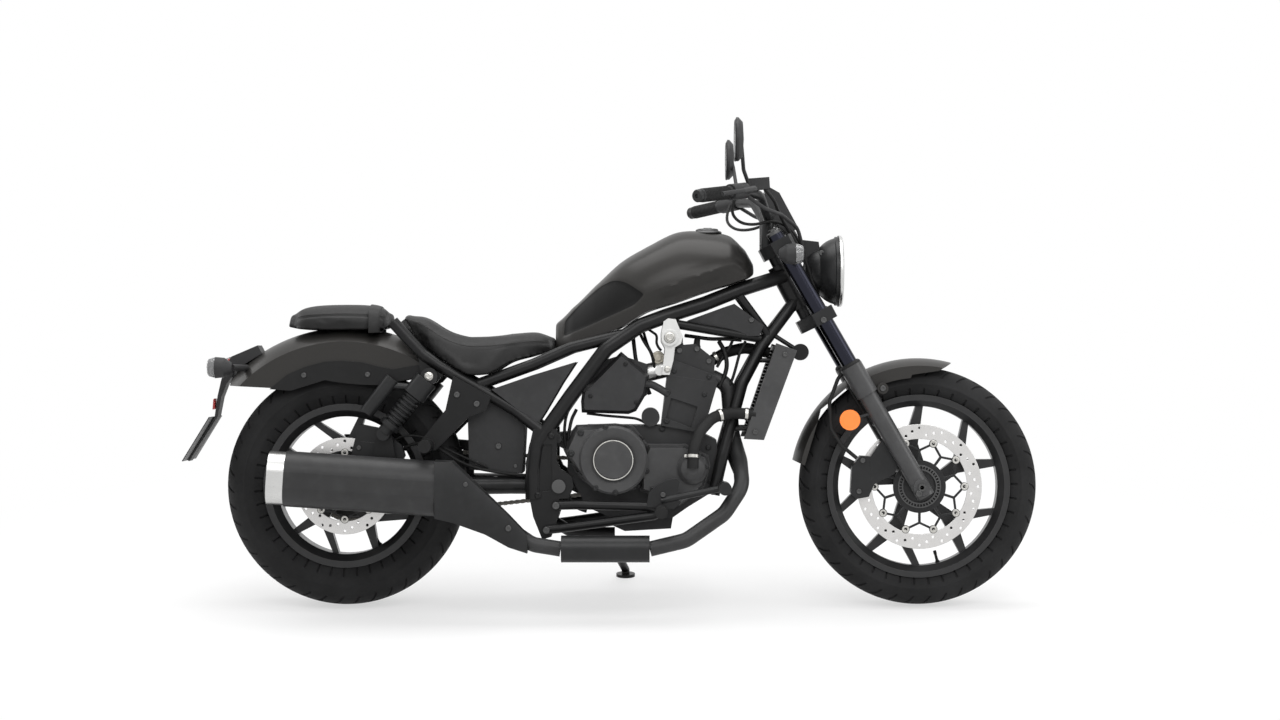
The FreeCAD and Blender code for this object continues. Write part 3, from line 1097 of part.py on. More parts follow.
def foot_controls(frame_solid):
    upper = tube("peg_upper", path("peg_upper"), size("cross_radius"), size("small_bend"))
    lower = tube("peg_lower", path("peg_lower"), size("cross_radius"), size("small_bend"))
    knuckle = cross_rod("peg_knuckle", size("peg_x"), size("peg_z"), size("peg_lower_bend3_y")
                        - size("cross_radius"), size("peg_inner"), size("stand_eye_radius"))
    bracket = cut("peg_bracket_solid", fuse("peg_bracket_raw", upper, lower, knuckle), frame_solid,
                  doc.getObject("left_cover_raw"))
    peg = cross_rod("footpeg", size("peg_x"), size("peg_z"), size("peg_inner"), size("peg_outer"),
                    size("peg_radius"))
    peg_solid = cut("footpeg_solid", peg, bracket)
    node("footpegs", *pair(peg_solid))
    pedal = slab("brake_lever_plate", outline("brake_pedal"), size("sprocket_thickness"),
                 -size("pedal_y"))
    pad = rod("brake_pad", (size("pedal_pad_x"), -size("pedal_y"), size("pedal_pad_z")),
              (size("pedal_pad_x"), -size("pedal_outer_y"), size("pedal_pad_z")), size("grip_radius"))
    arm = rod("brake_arm", (size("peg_x"), -size("pedal_y"), size("pedal_arm_z")),
              (size("pedal_pad_x"), -size("pedal_y"), size("pedal_pad_z")), size("pivot_bolt_radius"))
    brake = fuse("brake_pedal_raw", pedal, arm, pad)
    brake_solid = cut("brake_pedal_solid", brake, frame_solid, mirrored(bracket), mirrored(peg))
    gear_pad = rod("gear_pad", (size("pedal_pad_x"), size("pedal_y"), size("pedal_pad_z")),
                   (size("pedal_pad_x"), size("pedal_outer_y"), size("pedal_pad_z")),
                   size("pivot_bolt_radius"))
    gear_arm = rod("gear_arm", (size("peg_x"), size("pedal_y"), size("pedal_arm_z")),
                   (size("pedal_pad_x"), size("pedal_y"), size("pedal_pad_z")), size("stand_pin_radius"))
    hub = cross_rod("gear_hub", size("peg_x"), size("pedal_arm_z"), size("peg_lower_bend3_y"),
                    size("pedal_y") + size("stand_pin_radius") * 2, size("cross_radius"))
    gear_solid = cut("gear_lever_solid", fuse("gear_lever_raw", gear_pad, gear_arm, hub),
                     frame_solid, bracket, peg)
    node("foot_levers", brake_solid, gear_solid)
    node("footpeg_brackets", *pair(bracket))


def floor_z(y):
    turn = math.radians(LEAN_ANGLE)
    sink = size("rear_tyre_corner5_v") * math.sin(turn)
    return (y * math.sin(turn) - sink) / math.cos(turn)


def side_stand():
    turn = math.radians(LEAN_ANGLE)
    down = (as_size(0), math.sin(turn), -math.cos(turn))
    foot_floor = (size("stand_foot_x"), size("stand_foot_y"), floor_z(size("stand_foot_y")))
    foot_top = tuple(value - size("foot_thickness") * share for value, share in zip(foot_floor, down))
    pivot = (size("stand_pivot_x"), size("stand_pivot_y"), size("stand_pivot_z"))
    ankle = tuple(value - size("stand_leg_radius") * share for value, share in zip(foot_top, down))
    leg_aim = vector(ankle) - vector(pivot)
    axis = leg_aim.cross(Vector(-1, 0.25, 0)).normalize()
    parts = [rod("stand_leg", pivot, ankle, size("stand_leg_radius")),
             rod("stand_ankle", foot_top, ankle, size("stand_leg_radius")),
             rod("stand_foot", foot_floor, foot_top, size("foot_radius"))]
    half = size("stand_eye_half").number
    eye = rod("stand_eye", tuple(as_size(v) for v in vector(pivot) - axis * half),
              tuple(as_size(v) for v in vector(pivot) + axis * half), size("stand_eye_radius"))
    bore = rod("stand_bore", tuple(as_size(v) for v in vector(pivot) - axis * half * 3),
               tuple(as_size(v) for v in vector(pivot) + axis * half * 3),
               size("stand_pin_radius") + size("stand_pin_play"))
    leg = cut("stand_solid", fuse("stand_raw", eye, *parts), bore)
    pin = rod("stand_pin", tuple(as_size(v) for v in vector(pivot) - axis * half * 2.2),
              tuple(as_size(v) for v in vector(pivot) + axis * half * 1.6), size("stand_pin_radius"))
    lug = rod("stand_lug", tuple(as_size(v) for v in vector(pivot) - axis * half * 2.9),
              tuple(as_size(v) for v in vector(pivot) - axis * (half + 1.2)), size("stand_eye_radius"))
    foot = tuple(as_size(v) for v in vector(pivot) - axis * half * 2.6)
    weld = rod("stand_weld", foot, (size("stand_pivot_x"), size("stand_rail_bend3_y"),
                                    size("stand_rail_bend3_z")), size("stand_leg_radius") * 0.8)
    return pivot, axis, leg, [pin, lug, weld]


def front_details():
    y = size("fork_y")
    axle = (size("front_axle_x"), as_size(0), size("front_axle_z"))
    ring = turned("front_guard_ring", outline("front_fender_ring"), axle)
    side = slab("front_guard_side", outline("front_fender_side"), size("front_axle_half") * 2,
                as_size(0))
    guard = common("front_guard", ring, side)
    legs = [item for item in doc.Objects if item.Name in ("slider_left", "slider_right")]
    post = cross_rod("fender_post", size("fender_post_x"), size("fender_post_z"),
                     size("front_fender_ring_corner1_v") * -1, size("fork_y"), size("slider_radius") * 0.6)
    posts = pair(post)
    node("front_fender", cut("front_fender_solid", fuse("front_guard_raw", guard, *posts), *legs))
    gap = size("disc_thickness") + size("caliper_gap") * 2
    slot = cross_rod("front_caliper_slot", axle[0], axle[2], size("front_disc_y") - gap / 2,
                     size("front_disc_y") + gap / 2, size("front_ring_corner2_u") + size("caliper_gap"))
    body = slab("front_caliper_raw", outline("front_caliper"), size("front_caliper_width"),
                size("front_caliper_y"))
    arm = slab("caliper_arm", outline("caliper_arm"), size("cross_radius"), -size("axle_lug_inner")
               - size("cross_radius") / 2)
    caliper = cut("front_caliper_solid", fuse("front_caliper_fused", body, arm), slot, *legs)
    node("front_brake_caliper", caliper)
    pipes = [item for item in doc.Objects if item.Name in ("stanchion", "stanchion_mirror")]
    node("brake_hose", cut("hose_solid", tube("hose", path("brake_hose"), size("hose_radius"),
                                              size("small_bend")), caliper, *legs, *pipes))
    front = (size("front_signal_x"), size("front_signal_y"), size("front_signal_z"))
    bulb = turned("front_signal", outline("indicator"), front, Vector(1, 0, 0))
    tubes = [item for item in doc.Objects if item.Name in ("stanchion", "stanchion_mirror")]
    yokes = doc.getObject("yokes_solid")
    post = cross_rod("front_signal_post", front[0] + size("slider_radius"), front[2], size("fork_y"),
                     front[1], size("pivot_bolt_radius"))
    signal = fuse("front_signal_raw", bulb, post)
    node("front_indicators", *pair(cut("front_signal_solid", signal, *tubes, yokes)))
    stem_path = path("mirror_stem")
    stem = tube("mirror_rod", stem_path, size("mirror_rod_radius"), size("small_bend"))
    middle = (stem_path[-1][0] + size("mirror_rod_radius") * 1.6, stem_path[-1][1], stem_path[-1][2])
    head = turned("mirror_head", outline("mirror"), middle, Vector(-1, 0, 0))
    grip_bar = doc.getObject("bar_left")
    node("mirrors", *pair(cut("mirror_solid", fuse("mirror_raw", stem, head), grip_bar)))
    node("hand_controls", *hand_controls())
    disc = cross_rod("reflector_disc", size("reflector_x"), size("reflector_z"), size("reflector_inner"),
                     size("reflector_outer"), size("reflector_radius"))
    stay = rod("reflector_stay", (size("reflector_stay_x"), size("fork_y"), size("reflector_stay_z")),
               (size("reflector_x"), (size("reflector_inner") + size("reflector_outer")) / 2,
                size("reflector_z")), size("reflector_stay_radius"))
    reflector = cut("reflector_solid", fuse("reflector_raw", disc, stay), doc.getObject("slider_left"))
    node("reflectors", *pair(reflector))


def hand_controls():
    bar = path("handlebar")
    end, before = vector(bar[-1]), vector(bar[-2])
    aim = (end - before).normalize()
    grip, margin = size("grip_length").number, size("control_margin").number
    start = end - aim * (grip + margin)
    inner = end - aim * (grip + size("control_length").number)
    housing = rod("switch_housing", plain(inner), plain(start), size("control_radius"))
    lever_path = path("lever")
    perch = rod("lever_perch", plain(start), lever_path[0], size("perch_radius"))
    lever = tube("lever_blade", lever_path, size("lever_radius"), size("small_bend"))
    cable = tube("cable_run", path("cable"), size("cable_radius"), size("tube_bend"))
    raw = fuse("control_raw", housing, perch, lever, cable)
    others = [doc.getObject(name) for name in ("handlebar_solid", "headlight_solid", "meter_solid",
                                               "yokes_solid")]
    control = cut("control_left", raw, *others)
    cup = slab("fluid_cup", outline("fluid_cup"), size("fluid_cup_width"), size("fluid_cup_y"))
    controls = pair(control)
    return controls + [cut("fluid_cup_solid", cup, doc.getObject("handlebar_solid"), controls[1])]


def balance():
    boxes = [item.Shape.optimalBoundingBox(False, False) for item in nodes]
    low = [min(getattr(box, name) for box in boxes) for name in ("XMin", "YMin", "ZMin")]
    high = [max(getattr(box, name) for box in boxes) for name in ("XMax", "YMax", "ZMax")]
    return Vector(-(low[0] + high[0]) / 2, -(low[1] + high[1]) / 2, -low[2])


def check(items):
    failed = [item.Name for item in items if "Invalid" in item.State or "Error" in item.State]
    if failed:
        raise RuntimeError(f"not made: {failed}")
    for item in nodes:
        if item.Shape.isNull() or not item.Shape.isValid():
            raise RuntimeError(f"{item.Label} has no valid shape")


def build():
    fill_sheet()
    wheels()
    steering()
    pivot, axis, leg, stand_parts = side_stand()
    frame_solid = frame(stand_parts)
    engine(frame_solid)
    cooling(frame_solid)
    bodywork(frame_solid)
    rear_end(frame_solid)
    engine_solids = [doc.getObject(name) for name in
                     ("case_solid", "head_solid", "block_solid", "right_cover_solid", "radiator_solid")]
    exhaust(frame_solid, engine_solids)
    foot_controls(frame_solid)
    node("side_stand", leg)
    front_details()
    doc.recompute()
    check(doc.Objects)
    return pivot, axis


stand_pivot, stand_axis = build()
shift = balance()
for item in nodes:
    item.Placement = Placement(shift, item.Placement.Rotation)
doc.recompute()
os.makedirs("parts", exist_ok=True)
for item in nodes:
    item.Shape.exportStep(f"parts/{item.Label}.step")
print(len(nodes), "pieces exported")
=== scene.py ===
import bpy
import math
from mathutils import Matrix, Vector, kdtree


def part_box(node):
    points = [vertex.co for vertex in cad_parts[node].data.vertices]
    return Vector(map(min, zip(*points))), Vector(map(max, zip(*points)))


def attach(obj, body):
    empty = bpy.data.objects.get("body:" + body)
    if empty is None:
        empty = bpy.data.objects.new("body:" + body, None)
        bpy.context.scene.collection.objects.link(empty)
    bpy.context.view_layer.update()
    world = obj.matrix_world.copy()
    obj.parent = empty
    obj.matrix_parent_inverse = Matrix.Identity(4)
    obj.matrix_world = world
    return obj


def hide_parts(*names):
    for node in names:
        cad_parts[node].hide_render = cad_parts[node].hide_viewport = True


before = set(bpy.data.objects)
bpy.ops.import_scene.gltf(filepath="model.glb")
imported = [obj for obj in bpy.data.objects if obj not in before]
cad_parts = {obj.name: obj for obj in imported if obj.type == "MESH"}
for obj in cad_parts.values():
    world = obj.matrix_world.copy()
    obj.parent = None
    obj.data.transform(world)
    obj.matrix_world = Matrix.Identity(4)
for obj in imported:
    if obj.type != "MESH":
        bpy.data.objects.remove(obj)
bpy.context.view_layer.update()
bpy.ops.object.select_all(action="DESELECT")

# Every new piece is made on the upright motorcycle, x forward from the rear axle, y to the left,
# z up from the floor, and is then leaned over with it onto the side stand.
stance = {"leanAngle": 9.5, "rearAxleHeight": 0.318, "clearSide": 900}
weld = 0.00001  # points nearer than this become one
rearLow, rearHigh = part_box("rear_wheel")
lean = Matrix.Rotation(math.radians(-stance["leanAngle"]), 4, "X")
upright = (Matrix.Translation((rearLow + rearHigh) / 2) @ lean
           @ Matrix.Translation((0, 0, -stance["rearAxleHeight"])))


def at(x, y, z):
    return Vector((x, y, z)) / 1000  # millimetres on the upright motorcycle


def alone(piece):
    if bpy.context.mode != "OBJECT":
        bpy.ops.object.mode_set(mode="OBJECT")
    bpy.ops.object.select_all(action="DESELECT")
    piece.select_set(True)
    bpy.context.view_layer.objects.active = piece


def shape(piece, test=None):
    # edit mode, with every face selected or only the ones that pass the test
    alone(piece)
    bpy.ops.object.mode_set(mode="EDIT")
    bpy.ops.mesh.select_mode(type="FACE")
    bpy.ops.mesh.select_all(action="DESELECT" if test else "SELECT")
    if test:
        bpy.ops.object.mode_set(mode="OBJECT")
        piece.data.polygons.foreach_set("select", [bool(test(face)) for face in piece.data.polygons])
        bpy.ops.object.mode_set(mode="EDIT")


def close(piece, doubles=0.0):
    shape(piece)
    if doubles:
        bpy.ops.mesh.remove_doubles(threshold=doubles)
    bpy.ops.mesh.normals_make_consistent(inside=False)
    bpy.ops.object.mode_set(mode="OBJECT")
    return piece


def modify(piece, kind, **settings):
    alone(piece)
    step = piece.modifiers.new(kind, kind)
    for key, value in settings.items():
        setattr(step, key, value)
    bpy.ops.object.modifier_apply(modifier=step.name)
    return piece


def turned(rings, sides=32):
    # a lathed piece standing on z: each ring has its height and its radius
    foot, width = rings[0]
    bpy.ops.object.select_all(action="DESELECT")
    bpy.ops.mesh.primitive_circle_add(vertices=sides, radius=width / 1000, fill_type="NGON")
    piece = bpy.context.object
    piece.data.transform(Matrix.Translation(at(0, 0, foot)))
    shape(piece)
    for (low, before), (high, radius) in zip(rings, rings[1:]):
        bpy.ops.mesh.extrude_region_move(TRANSFORM_OT_translate={"value": at(0, 0, high - low)})
        bpy.ops.transform.resize(value=(radius / before, radius / before, 1), center_override=(0, 0, 0))
    return close(piece)


def hoop(section, steps, ahead=None):
    # a closed ring about y: each point of its section has a radius and a side, and may run ahead
    bpy.ops.object.select_all(action="DESELECT")
    bpy.ops.mesh.primitive_torus_add(major_segments=steps, minor_segments=len(section))
    piece = bpy.context.object
    for count, corner in enumerate(piece.data.vertices):
        turn, place = divmod(count, len(section))
        radius, side = section[place]
        angle = math.tau * turn / steps + (ahead[place] if ahead else 0)
        corner.co = at(radius * math.cos(angle), side, radius * math.sin(angle))
    return close(piece)


def plate(outline, low, high, soften=0.0):
    # a flat piece with its outline seen from the side, from y low to y high
    bpy.ops.object.select_all(action="DESELECT")
    bpy.ops.mesh.primitive_circle_add(vertices=len(outline), radius=1, fill_type="NGON")
    piece = bpy.context.object
    for corner, (x, z) in zip(piece.data.vertices, outline):
        corner.co = at(x, low, z)
    shape(piece)
    bpy.ops.mesh.extrude_region_move(TRANSFORM_OT_translate={"value": at(0, high - low, 0)})
    close(piece)
    if soften:
        modify(piece, "BEVEL", width=soften / 1000, segments=2, limit_method="ANGLE")
    return piece


def block(size, middle, soften=1.0):
    bpy.ops.object.select_all(action="DESELECT")
    bpy.ops.mesh.primitive_cube_add(size=0.001, location=(0, 0, 0))
    piece = bpy.context.object
    piece.data.transform(Matrix.Translation(at(*middle)) @ Matrix.Diagonal((*size, 1)))
    return modify(piece, "BEVEL", width=soften / 1000, segments=2)


def skin(sections, ends=True):
    # a surface through closed loops of points, in order along the piece
    rows, columns = len(sections), len(sections[0]) + 1
    bpy.ops.object.select_all(action="DESELECT")
    bpy.ops.mesh.primitive_grid_add(x_subdivisions=columns - 1, y_subdivisions=rows - 1, size=2)
    piece = bpy.context.object
    for count, corner in enumerate(piece.data.vertices):
        row, column = divmod(count, columns)
        corner.co = sections[row][column % (columns - 1)]
    shape(piece)
    bpy.ops.mesh.remove_doubles(threshold=weld)
    if ends:
        bpy.ops.mesh.select_mode(type="EDGE")
        bpy.ops.mesh.select_non_manifold()
        bpy.ops.mesh.fill_holes(sides=0)
    return close(piece)


def hose(points, radius):
    # a fixed line, wire or pipe along a smooth curve
    points = [at(*point) for point in points]
    while len(points) < 6:
        points.insert(1, (points[0] + points[1]) / 2)
    bpy.ops.object.select_all(action="DESELECT")
    bpy.ops.curve.primitive_nurbs_path_add()
    line = bpy.context.object
    run = line.data.splines[0]
    run.points.add(len(points) - len(run.points))
    for corner, point in zip(run.points, points):
        corner.co = (*point, 1)
    run.order_u = 3
    run.use_endpoint_u = True
    run.resolution_u = 5
    line.data.bevel_depth = radius / 1000
    line.data.bevel_resolution = 4
    line.data.use_fill_caps = True
    bpy.ops.object.convert(target="MESH")
    return close(bpy.context.object, weld)


def joined(pieces):
    alone(pieces[0])
    for piece in pieces:
        piece.select_set(True)
    if len(pieces) > 1:
        bpy.ops.object.join()
    return bpy.context.object


def spread(piece, spots):
    # a copy of the piece at each spot, each with its own mesh
    copies = []
    for spot in spots:
        copy = piece.copy()
        copy.data = piece.data.copy()
        copy.data.transform(spot)
        bpy.context.scene.collection.objects.link(copy)
        copies.append(copy)
    bpy.data.objects.remove(piece)
    return joined(copies)


def turnedTo(middle, direction, spin=0.0):
    # from a piece standing on z at the origin to one at a point, along a direction
    swing = Vector(direction).to_track_quat("Z", "Y").to_matrix().to_4x4()
    return Matrix.Translation(at(*middle)) @ swing @ Matrix.Rotation(spin, 4, "Z")


def about(x, z, y=0.0, angle=0.0):
    return Matrix.Translation(at(x, y, z)) @ Matrix.Rotation(-math.radians(angle), 4, "Y")


ontoSide = Matrix.Rotation(math.radians(90), 4, "X")  # from standing on z to lying across


def settle(piece, name, body, finish, slot, *nodes, smooth=32):
    alone(piece)
    bpy.ops.object.shade_smooth_by_angle(angle=math.radians(smooth))
    piece.data.transform(upright)
    piece.data.update()
    piece.name = piece.data.name = name
    piece.data.materials.clear()
    piece.data.materials.append(finishes[finish])
    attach(piece, body)
    if nodes:
        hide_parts(*nodes)
    return piece


def facing(node, start, direction):
    # where a ray through upright space meets a CAD piece, with the surface's direction there
    aim = upright.to_3x3() @ Vector(direction)
    met, spot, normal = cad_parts[node].ray_cast(upright @ at(*start), aim)[:3]
    if not met:
        print("no surface on", node, "from", start)
        return None
    back = upright.inverted()
    return (back @ spot) * 1000, back.to_3x3() @ normal


def surfaceAt(node, x, z, side):
    # the place in y at which a ray from the machine's side meets a CAD piece
    found = facing(node, (x, stance["clearSide"] * side, z), (0, -side, 0))
    return found[0].y if found else None


class Wire:
    # an output socket that takes part in sums
    def __init__(self, finish, socket):
        self.finish = finish
        self.socket = socket

    def math(self, kind, first, second=0.0, third=0.0):
        return self.finish.node("ShaderNodeMath", {"operation": kind}, {0: first, 1: second, 2: third})

    def __add__(self, other):
        return self.math("ADD", self, other)

    def __radd__(self, other):
        return self.math("ADD", other, self)

    def __sub__(self, other):
        return self.math("SUBTRACT", self, other)

    def __rsub__(self, other):
        return self.math("SUBTRACT", other, self)

    def __mul__(self, other):
        return self.math("MULTIPLY", self, other)

    def __rmul__(self, other):
        return self.math("MULTIPLY", other, self)

    def softLeast(self, other, reach):
        return self.math("SMOOTH_MIN", self, other, reach)

    def between(self, low, high):
        return self.finish.node("ShaderNodeMapRange", {"interpolation_type": "SMOOTHSTEP"},
                                {"Value": self, "From Min": low, "From Max": high})


class Finish:
    def __init__(self, name, colour, **constants):
        self.material = bpy.data.materials.new(name)
        self.material.use_nodes = True
        self.tree = self.material.node_tree
        self.shader = self.tree.nodes["Principled BSDF"]
        self.material.diffuse_color = (*colour, 1)
        self.shader.inputs["Base Color"].default_value = (*colour, 1)
        for socket, value in constants.items():
            self.shader.inputs[socket.replace("_", " ")].default_value = value

    def node(self, kind, settings=None, inputs=None, output=0):
        made = self.tree.nodes.new(kind)
        for key, value in (settings or {}).items():
            if key == "stops":
                ramp = made.color_ramp.elements
                for count, (place, shade) in enumerate(value):
                    stop = ramp[count] if count < 2 else ramp.new(place)
                    stop.position = place
                    stop.color = (shade, shade, shade, 1)
            else:
                setattr(made, key, value)
        for key, value in (inputs or {}).items():
            if isinstance(value, Wire):
                self.tree.links.new(value.socket, made.inputs[key])
            else:
                made.inputs[key].default_value = value
        return Wire(self, made.outputs[output])

    def feed(self, socket, wire):
        self.tree.links.new(wire.socket, self.shader.inputs[socket])

    def place(self, stretch=(1, 1, 1)):
        where = self.node("ShaderNodeTexCoord", output="Object")
        return self.node("ShaderNodeMapping", {}, {"Vector": where, "Scale": stretch})

    def noise(self, scale, detail=4.0, stretch=(1, 1, 1)):
        return self.node("ShaderNodeTexNoise", {}, {"Vector": self.place(stretch), "Scale": scale,
                                                    "Detail": detail})

    def cells(self, scale, feature="F1"):
        return self.node("ShaderNodeTexVoronoi", {"feature": feature},
                         {"Vector": self.place(), "Scale": scale})

    def ramp(self, wire, *stops):
        return self.node("ShaderNodeValToRGB", {"stops": stops}, {"Fac": wire})

    def blend(self, share, first, second):
        pair = {6: first if isinstance(first, Wire) else (*first, 1),
                7: second if isinstance(second, Wire) else (*second, 1), 0: share}
        return self.node("ShaderNodeMix", {"data_type": "RGBA"}, pair, output=2)

    def edges(self, radius):
        return self.node("ShaderNodeBevel", {"samples": 4}, {"Radius": radius})

    def bump(self, height, strength, distance, under=None):
        inputs = {"Height": height, "Strength": strength, "Distance": distance}
        if under is not None:
            inputs["Normal"] = under
        return self.node("ShaderNodeBump", {}, inputs)

    def worn(self, radius):
        # lighter colour on the edges, where the rounded normal leaves the flat one: partly edge wear, partly
        # a painted edge highlight
        plain = self.node("ShaderNodeNewGeometry", output="Normal")
        match = self.node("ShaderNodeVectorMath", {"operation": "DOT_PRODUCT"},
                          {0: self.edges(radius), 1: plain}, output="Value")
        return self.node("ShaderNodeMath", {"operation": "MULTIPLY", "use_clamp": True},
                         {0: 1 - match, 1: 6.0})

    def across(self, line):
        # how far a point lies inside a line that is drawn on the upright motorcycle's side
        (x1, z1), (x2, z2) = line
        run = math.hypot(x2 - x1, z2 - z1)
        inward = upright.to_3x3() @ Vector(((z2 - z1) / run, 0, (x1 - x2) / run))
        corner = upright @ at(x1, 0, z1)
        reach = self.node("ShaderNodeVectorMath", {"operation": "DOT_PRODUCT"},
                          {0: self.node("ShaderNodeTexCoord", output="Object"), 1: inward}, output="Value")
        return reach - inward.dot(corner)


def tinted(colour, share, more=0.0):
    return tuple(min(1.0, part * share + more) for part in colour)


def castFinish(name, colour, roughness, grain=900, depth=0.00025, rub=0.35, coat=0.0, edge=0.0012,
               shine=0.26):
    finish = Finish(name, colour, Roughness=roughness, Coat_Weight=coat, Coat_Roughness=0.22,
                    Specular_IOR_Level=shine)
    body = finish.blend(finish.noise(14, 3), tinted(colour, 0.8), tinted(colour, 1.4, 0.004))
    dust = finish.ramp(finish.noise(38, 6), (0.5, 0.0), (0.85, 0.5))
    body = finish.blend(dust, body, tinted(colour, 1.6, 0.006))
    # the edges are painted lighter: edge wear, and a painted highlight where light catches them
    finish.feed("Base Color", finish.blend(finish.worn(edge) * rub, body, tinted(colour, 3.0, 0.03)))
    finish.feed("Roughness", finish.noise(60) * 0.18 + (roughness - 0.09))
    finish.feed("Normal", finish.bump(finish.noise(grain, 2), 0.35, depth, finish.edges(0.0011)))
    return finish.material


def paintFinish(name, colour, flake, roughness=0.32, outline=None):
    finish = Finish(name, colour, Metallic=0.4, Roughness=roughness, Coat_Weight=0.22,
                    Coat_Roughness=0.2, Coat_IOR=1.45, Specular_IOR_Level=0.18)
    sparkle = finish.ramp(finish.cells(2600), (0.0, 1.0), (0.3, 0.0))
    body = finish.blend(finish.noise(5, 2), tinted(colour, 0.92), tinted(colour, 1.08))
    paint = finish.blend(sparkle * 0.35, body, flake)
    rough = finish.noise(420, 2) * 0.08 + (roughness - 0.04)
    peel = finish.bump(finish.noise(55, 2), 0.05, 0.0006, finish.edges(0.0009))
    if outline:
        # the matt knee pad, inside a rounded outline on both sides
        inside = finish.across((outline[-1], outline[0]))
        for line in zip(outline, outline[1:]):
            inside = inside.softLeast(finish.across(line), 0.012)
        pad = inside.between(0.0, 0.0012)
        paint = finish.blend(pad, paint, (0.0025, 0.0025, 0.0025))
        rough = rough * (1 - pad) + pad * 0.52
        finish.feed("Metallic", 0.4 * (1 - pad))
        finish.feed("Coat Weight", 0.22 * (1 - pad))
        peel = finish.bump(finish.noise(900, 2) * pad, 0.3, 0.0002, peel)
        peel = finish.bump(1 - inside.between(-0.001, 0.003), 0.8, 0.0015, peel)
    finish.feed("Base Color", paint)
    finish.feed("Roughness", rough)
    finish.feed("Normal", peel)
    return finish.material


def metalFinish(name, colour, roughness, stretch=(1, 1, 1), scale=300, strength=0.12, stain=0.82):
    finish = Finish(name, colour, Metallic=1.0, Roughness=roughness)
    marks = finish.noise(scale, 5, stretch)
    body = finish.blend(finish.noise(22, 3), tinted(colour, stain), colour)
    # lighter along the edges: edge wear, and a painted edge highlight
    finish.feed("Base Color", finish.blend(finish.worn(0.0008) * 0.3, body, tinted(colour, 1.3, 0.02)))
    finish.feed("Roughness", marks * 0.22 + (roughness - 0.11))
    finish.feed("Normal", finish.bump(marks, strength, 0.0002, finish.edges(0.0009)))
    return finish.material


def rubberFinish(name, colour, roughness=0.72, grain=700, dusty=1.7, strength=0.3):
    finish = Finish(name, colour, Roughness=roughness, Specular_IOR_Level=0.2)
    dust = finish.ramp(finish.noise(9, 5), (0.35, 0.0), (0.8, 1.0))
    finish.feed("Base Color", finish.blend(dust, colour, tinted(colour, dusty, 0.004)))
    finish.feed("Roughness", finish.noise(130) * 0.2 + (roughness - 0.1))
    finish.feed("Normal", finish.bump(finish.noise(grain, 3), strength, 0.0003, finish.edges(0.0008)))
    return finish.material


def vinylFinish(name, colour, roughness=0.46):
    # fine leather grain: small rounded cells with pores, and a soft sheen on the crowns
    finish = Finish(name, colour, Roughness=roughness, Specular_IOR_Level=0.3)
    grain = finish.cells(620, "SMOOTH_F1")
    creases = finish.noise(70, 5)
    tone = finish.blend(finish.noise(11, 3), tinted(colour, 0.85), tinted(colour, 1.3, 0.003))
    pores = finish.ramp(grain, (0.2, 0.0), (0.8, 0.5))
    finish.feed("Base Color", finish.blend(pores, tone, tinted(colour, 0.6)))
    finish.feed("Roughness", creases * 0.16 + grain * 0.08 + (roughness - 0.1))
    finish.feed("Normal", finish.bump(creases, 0.12, 0.0012, finish.bump(grain, 0.5, 0.0004)))
    return finish.material


def lensFinish(name, colour, cellScale=0, clear=0.85, paintedGlow=0.0):
    finish = Finish(name, colour, Roughness=0.06, IOR=1.5, Transmission_Weight=clear, Coat_Weight=0.4,
                    Coat_Roughness=0.03, Emission_Strength=paintedGlow)
    finish.shader.inputs["Emission Color"].default_value = (*colour, 1)
    finish.feed("Base Color", finish.blend(finish.noise(30, 2), tinted(colour, 0.88), colour))
    if cellScale:
        finish.feed("Normal", finish.bump(finish.cells(cellScale), 0.4, 0.0012))
    return finish.material


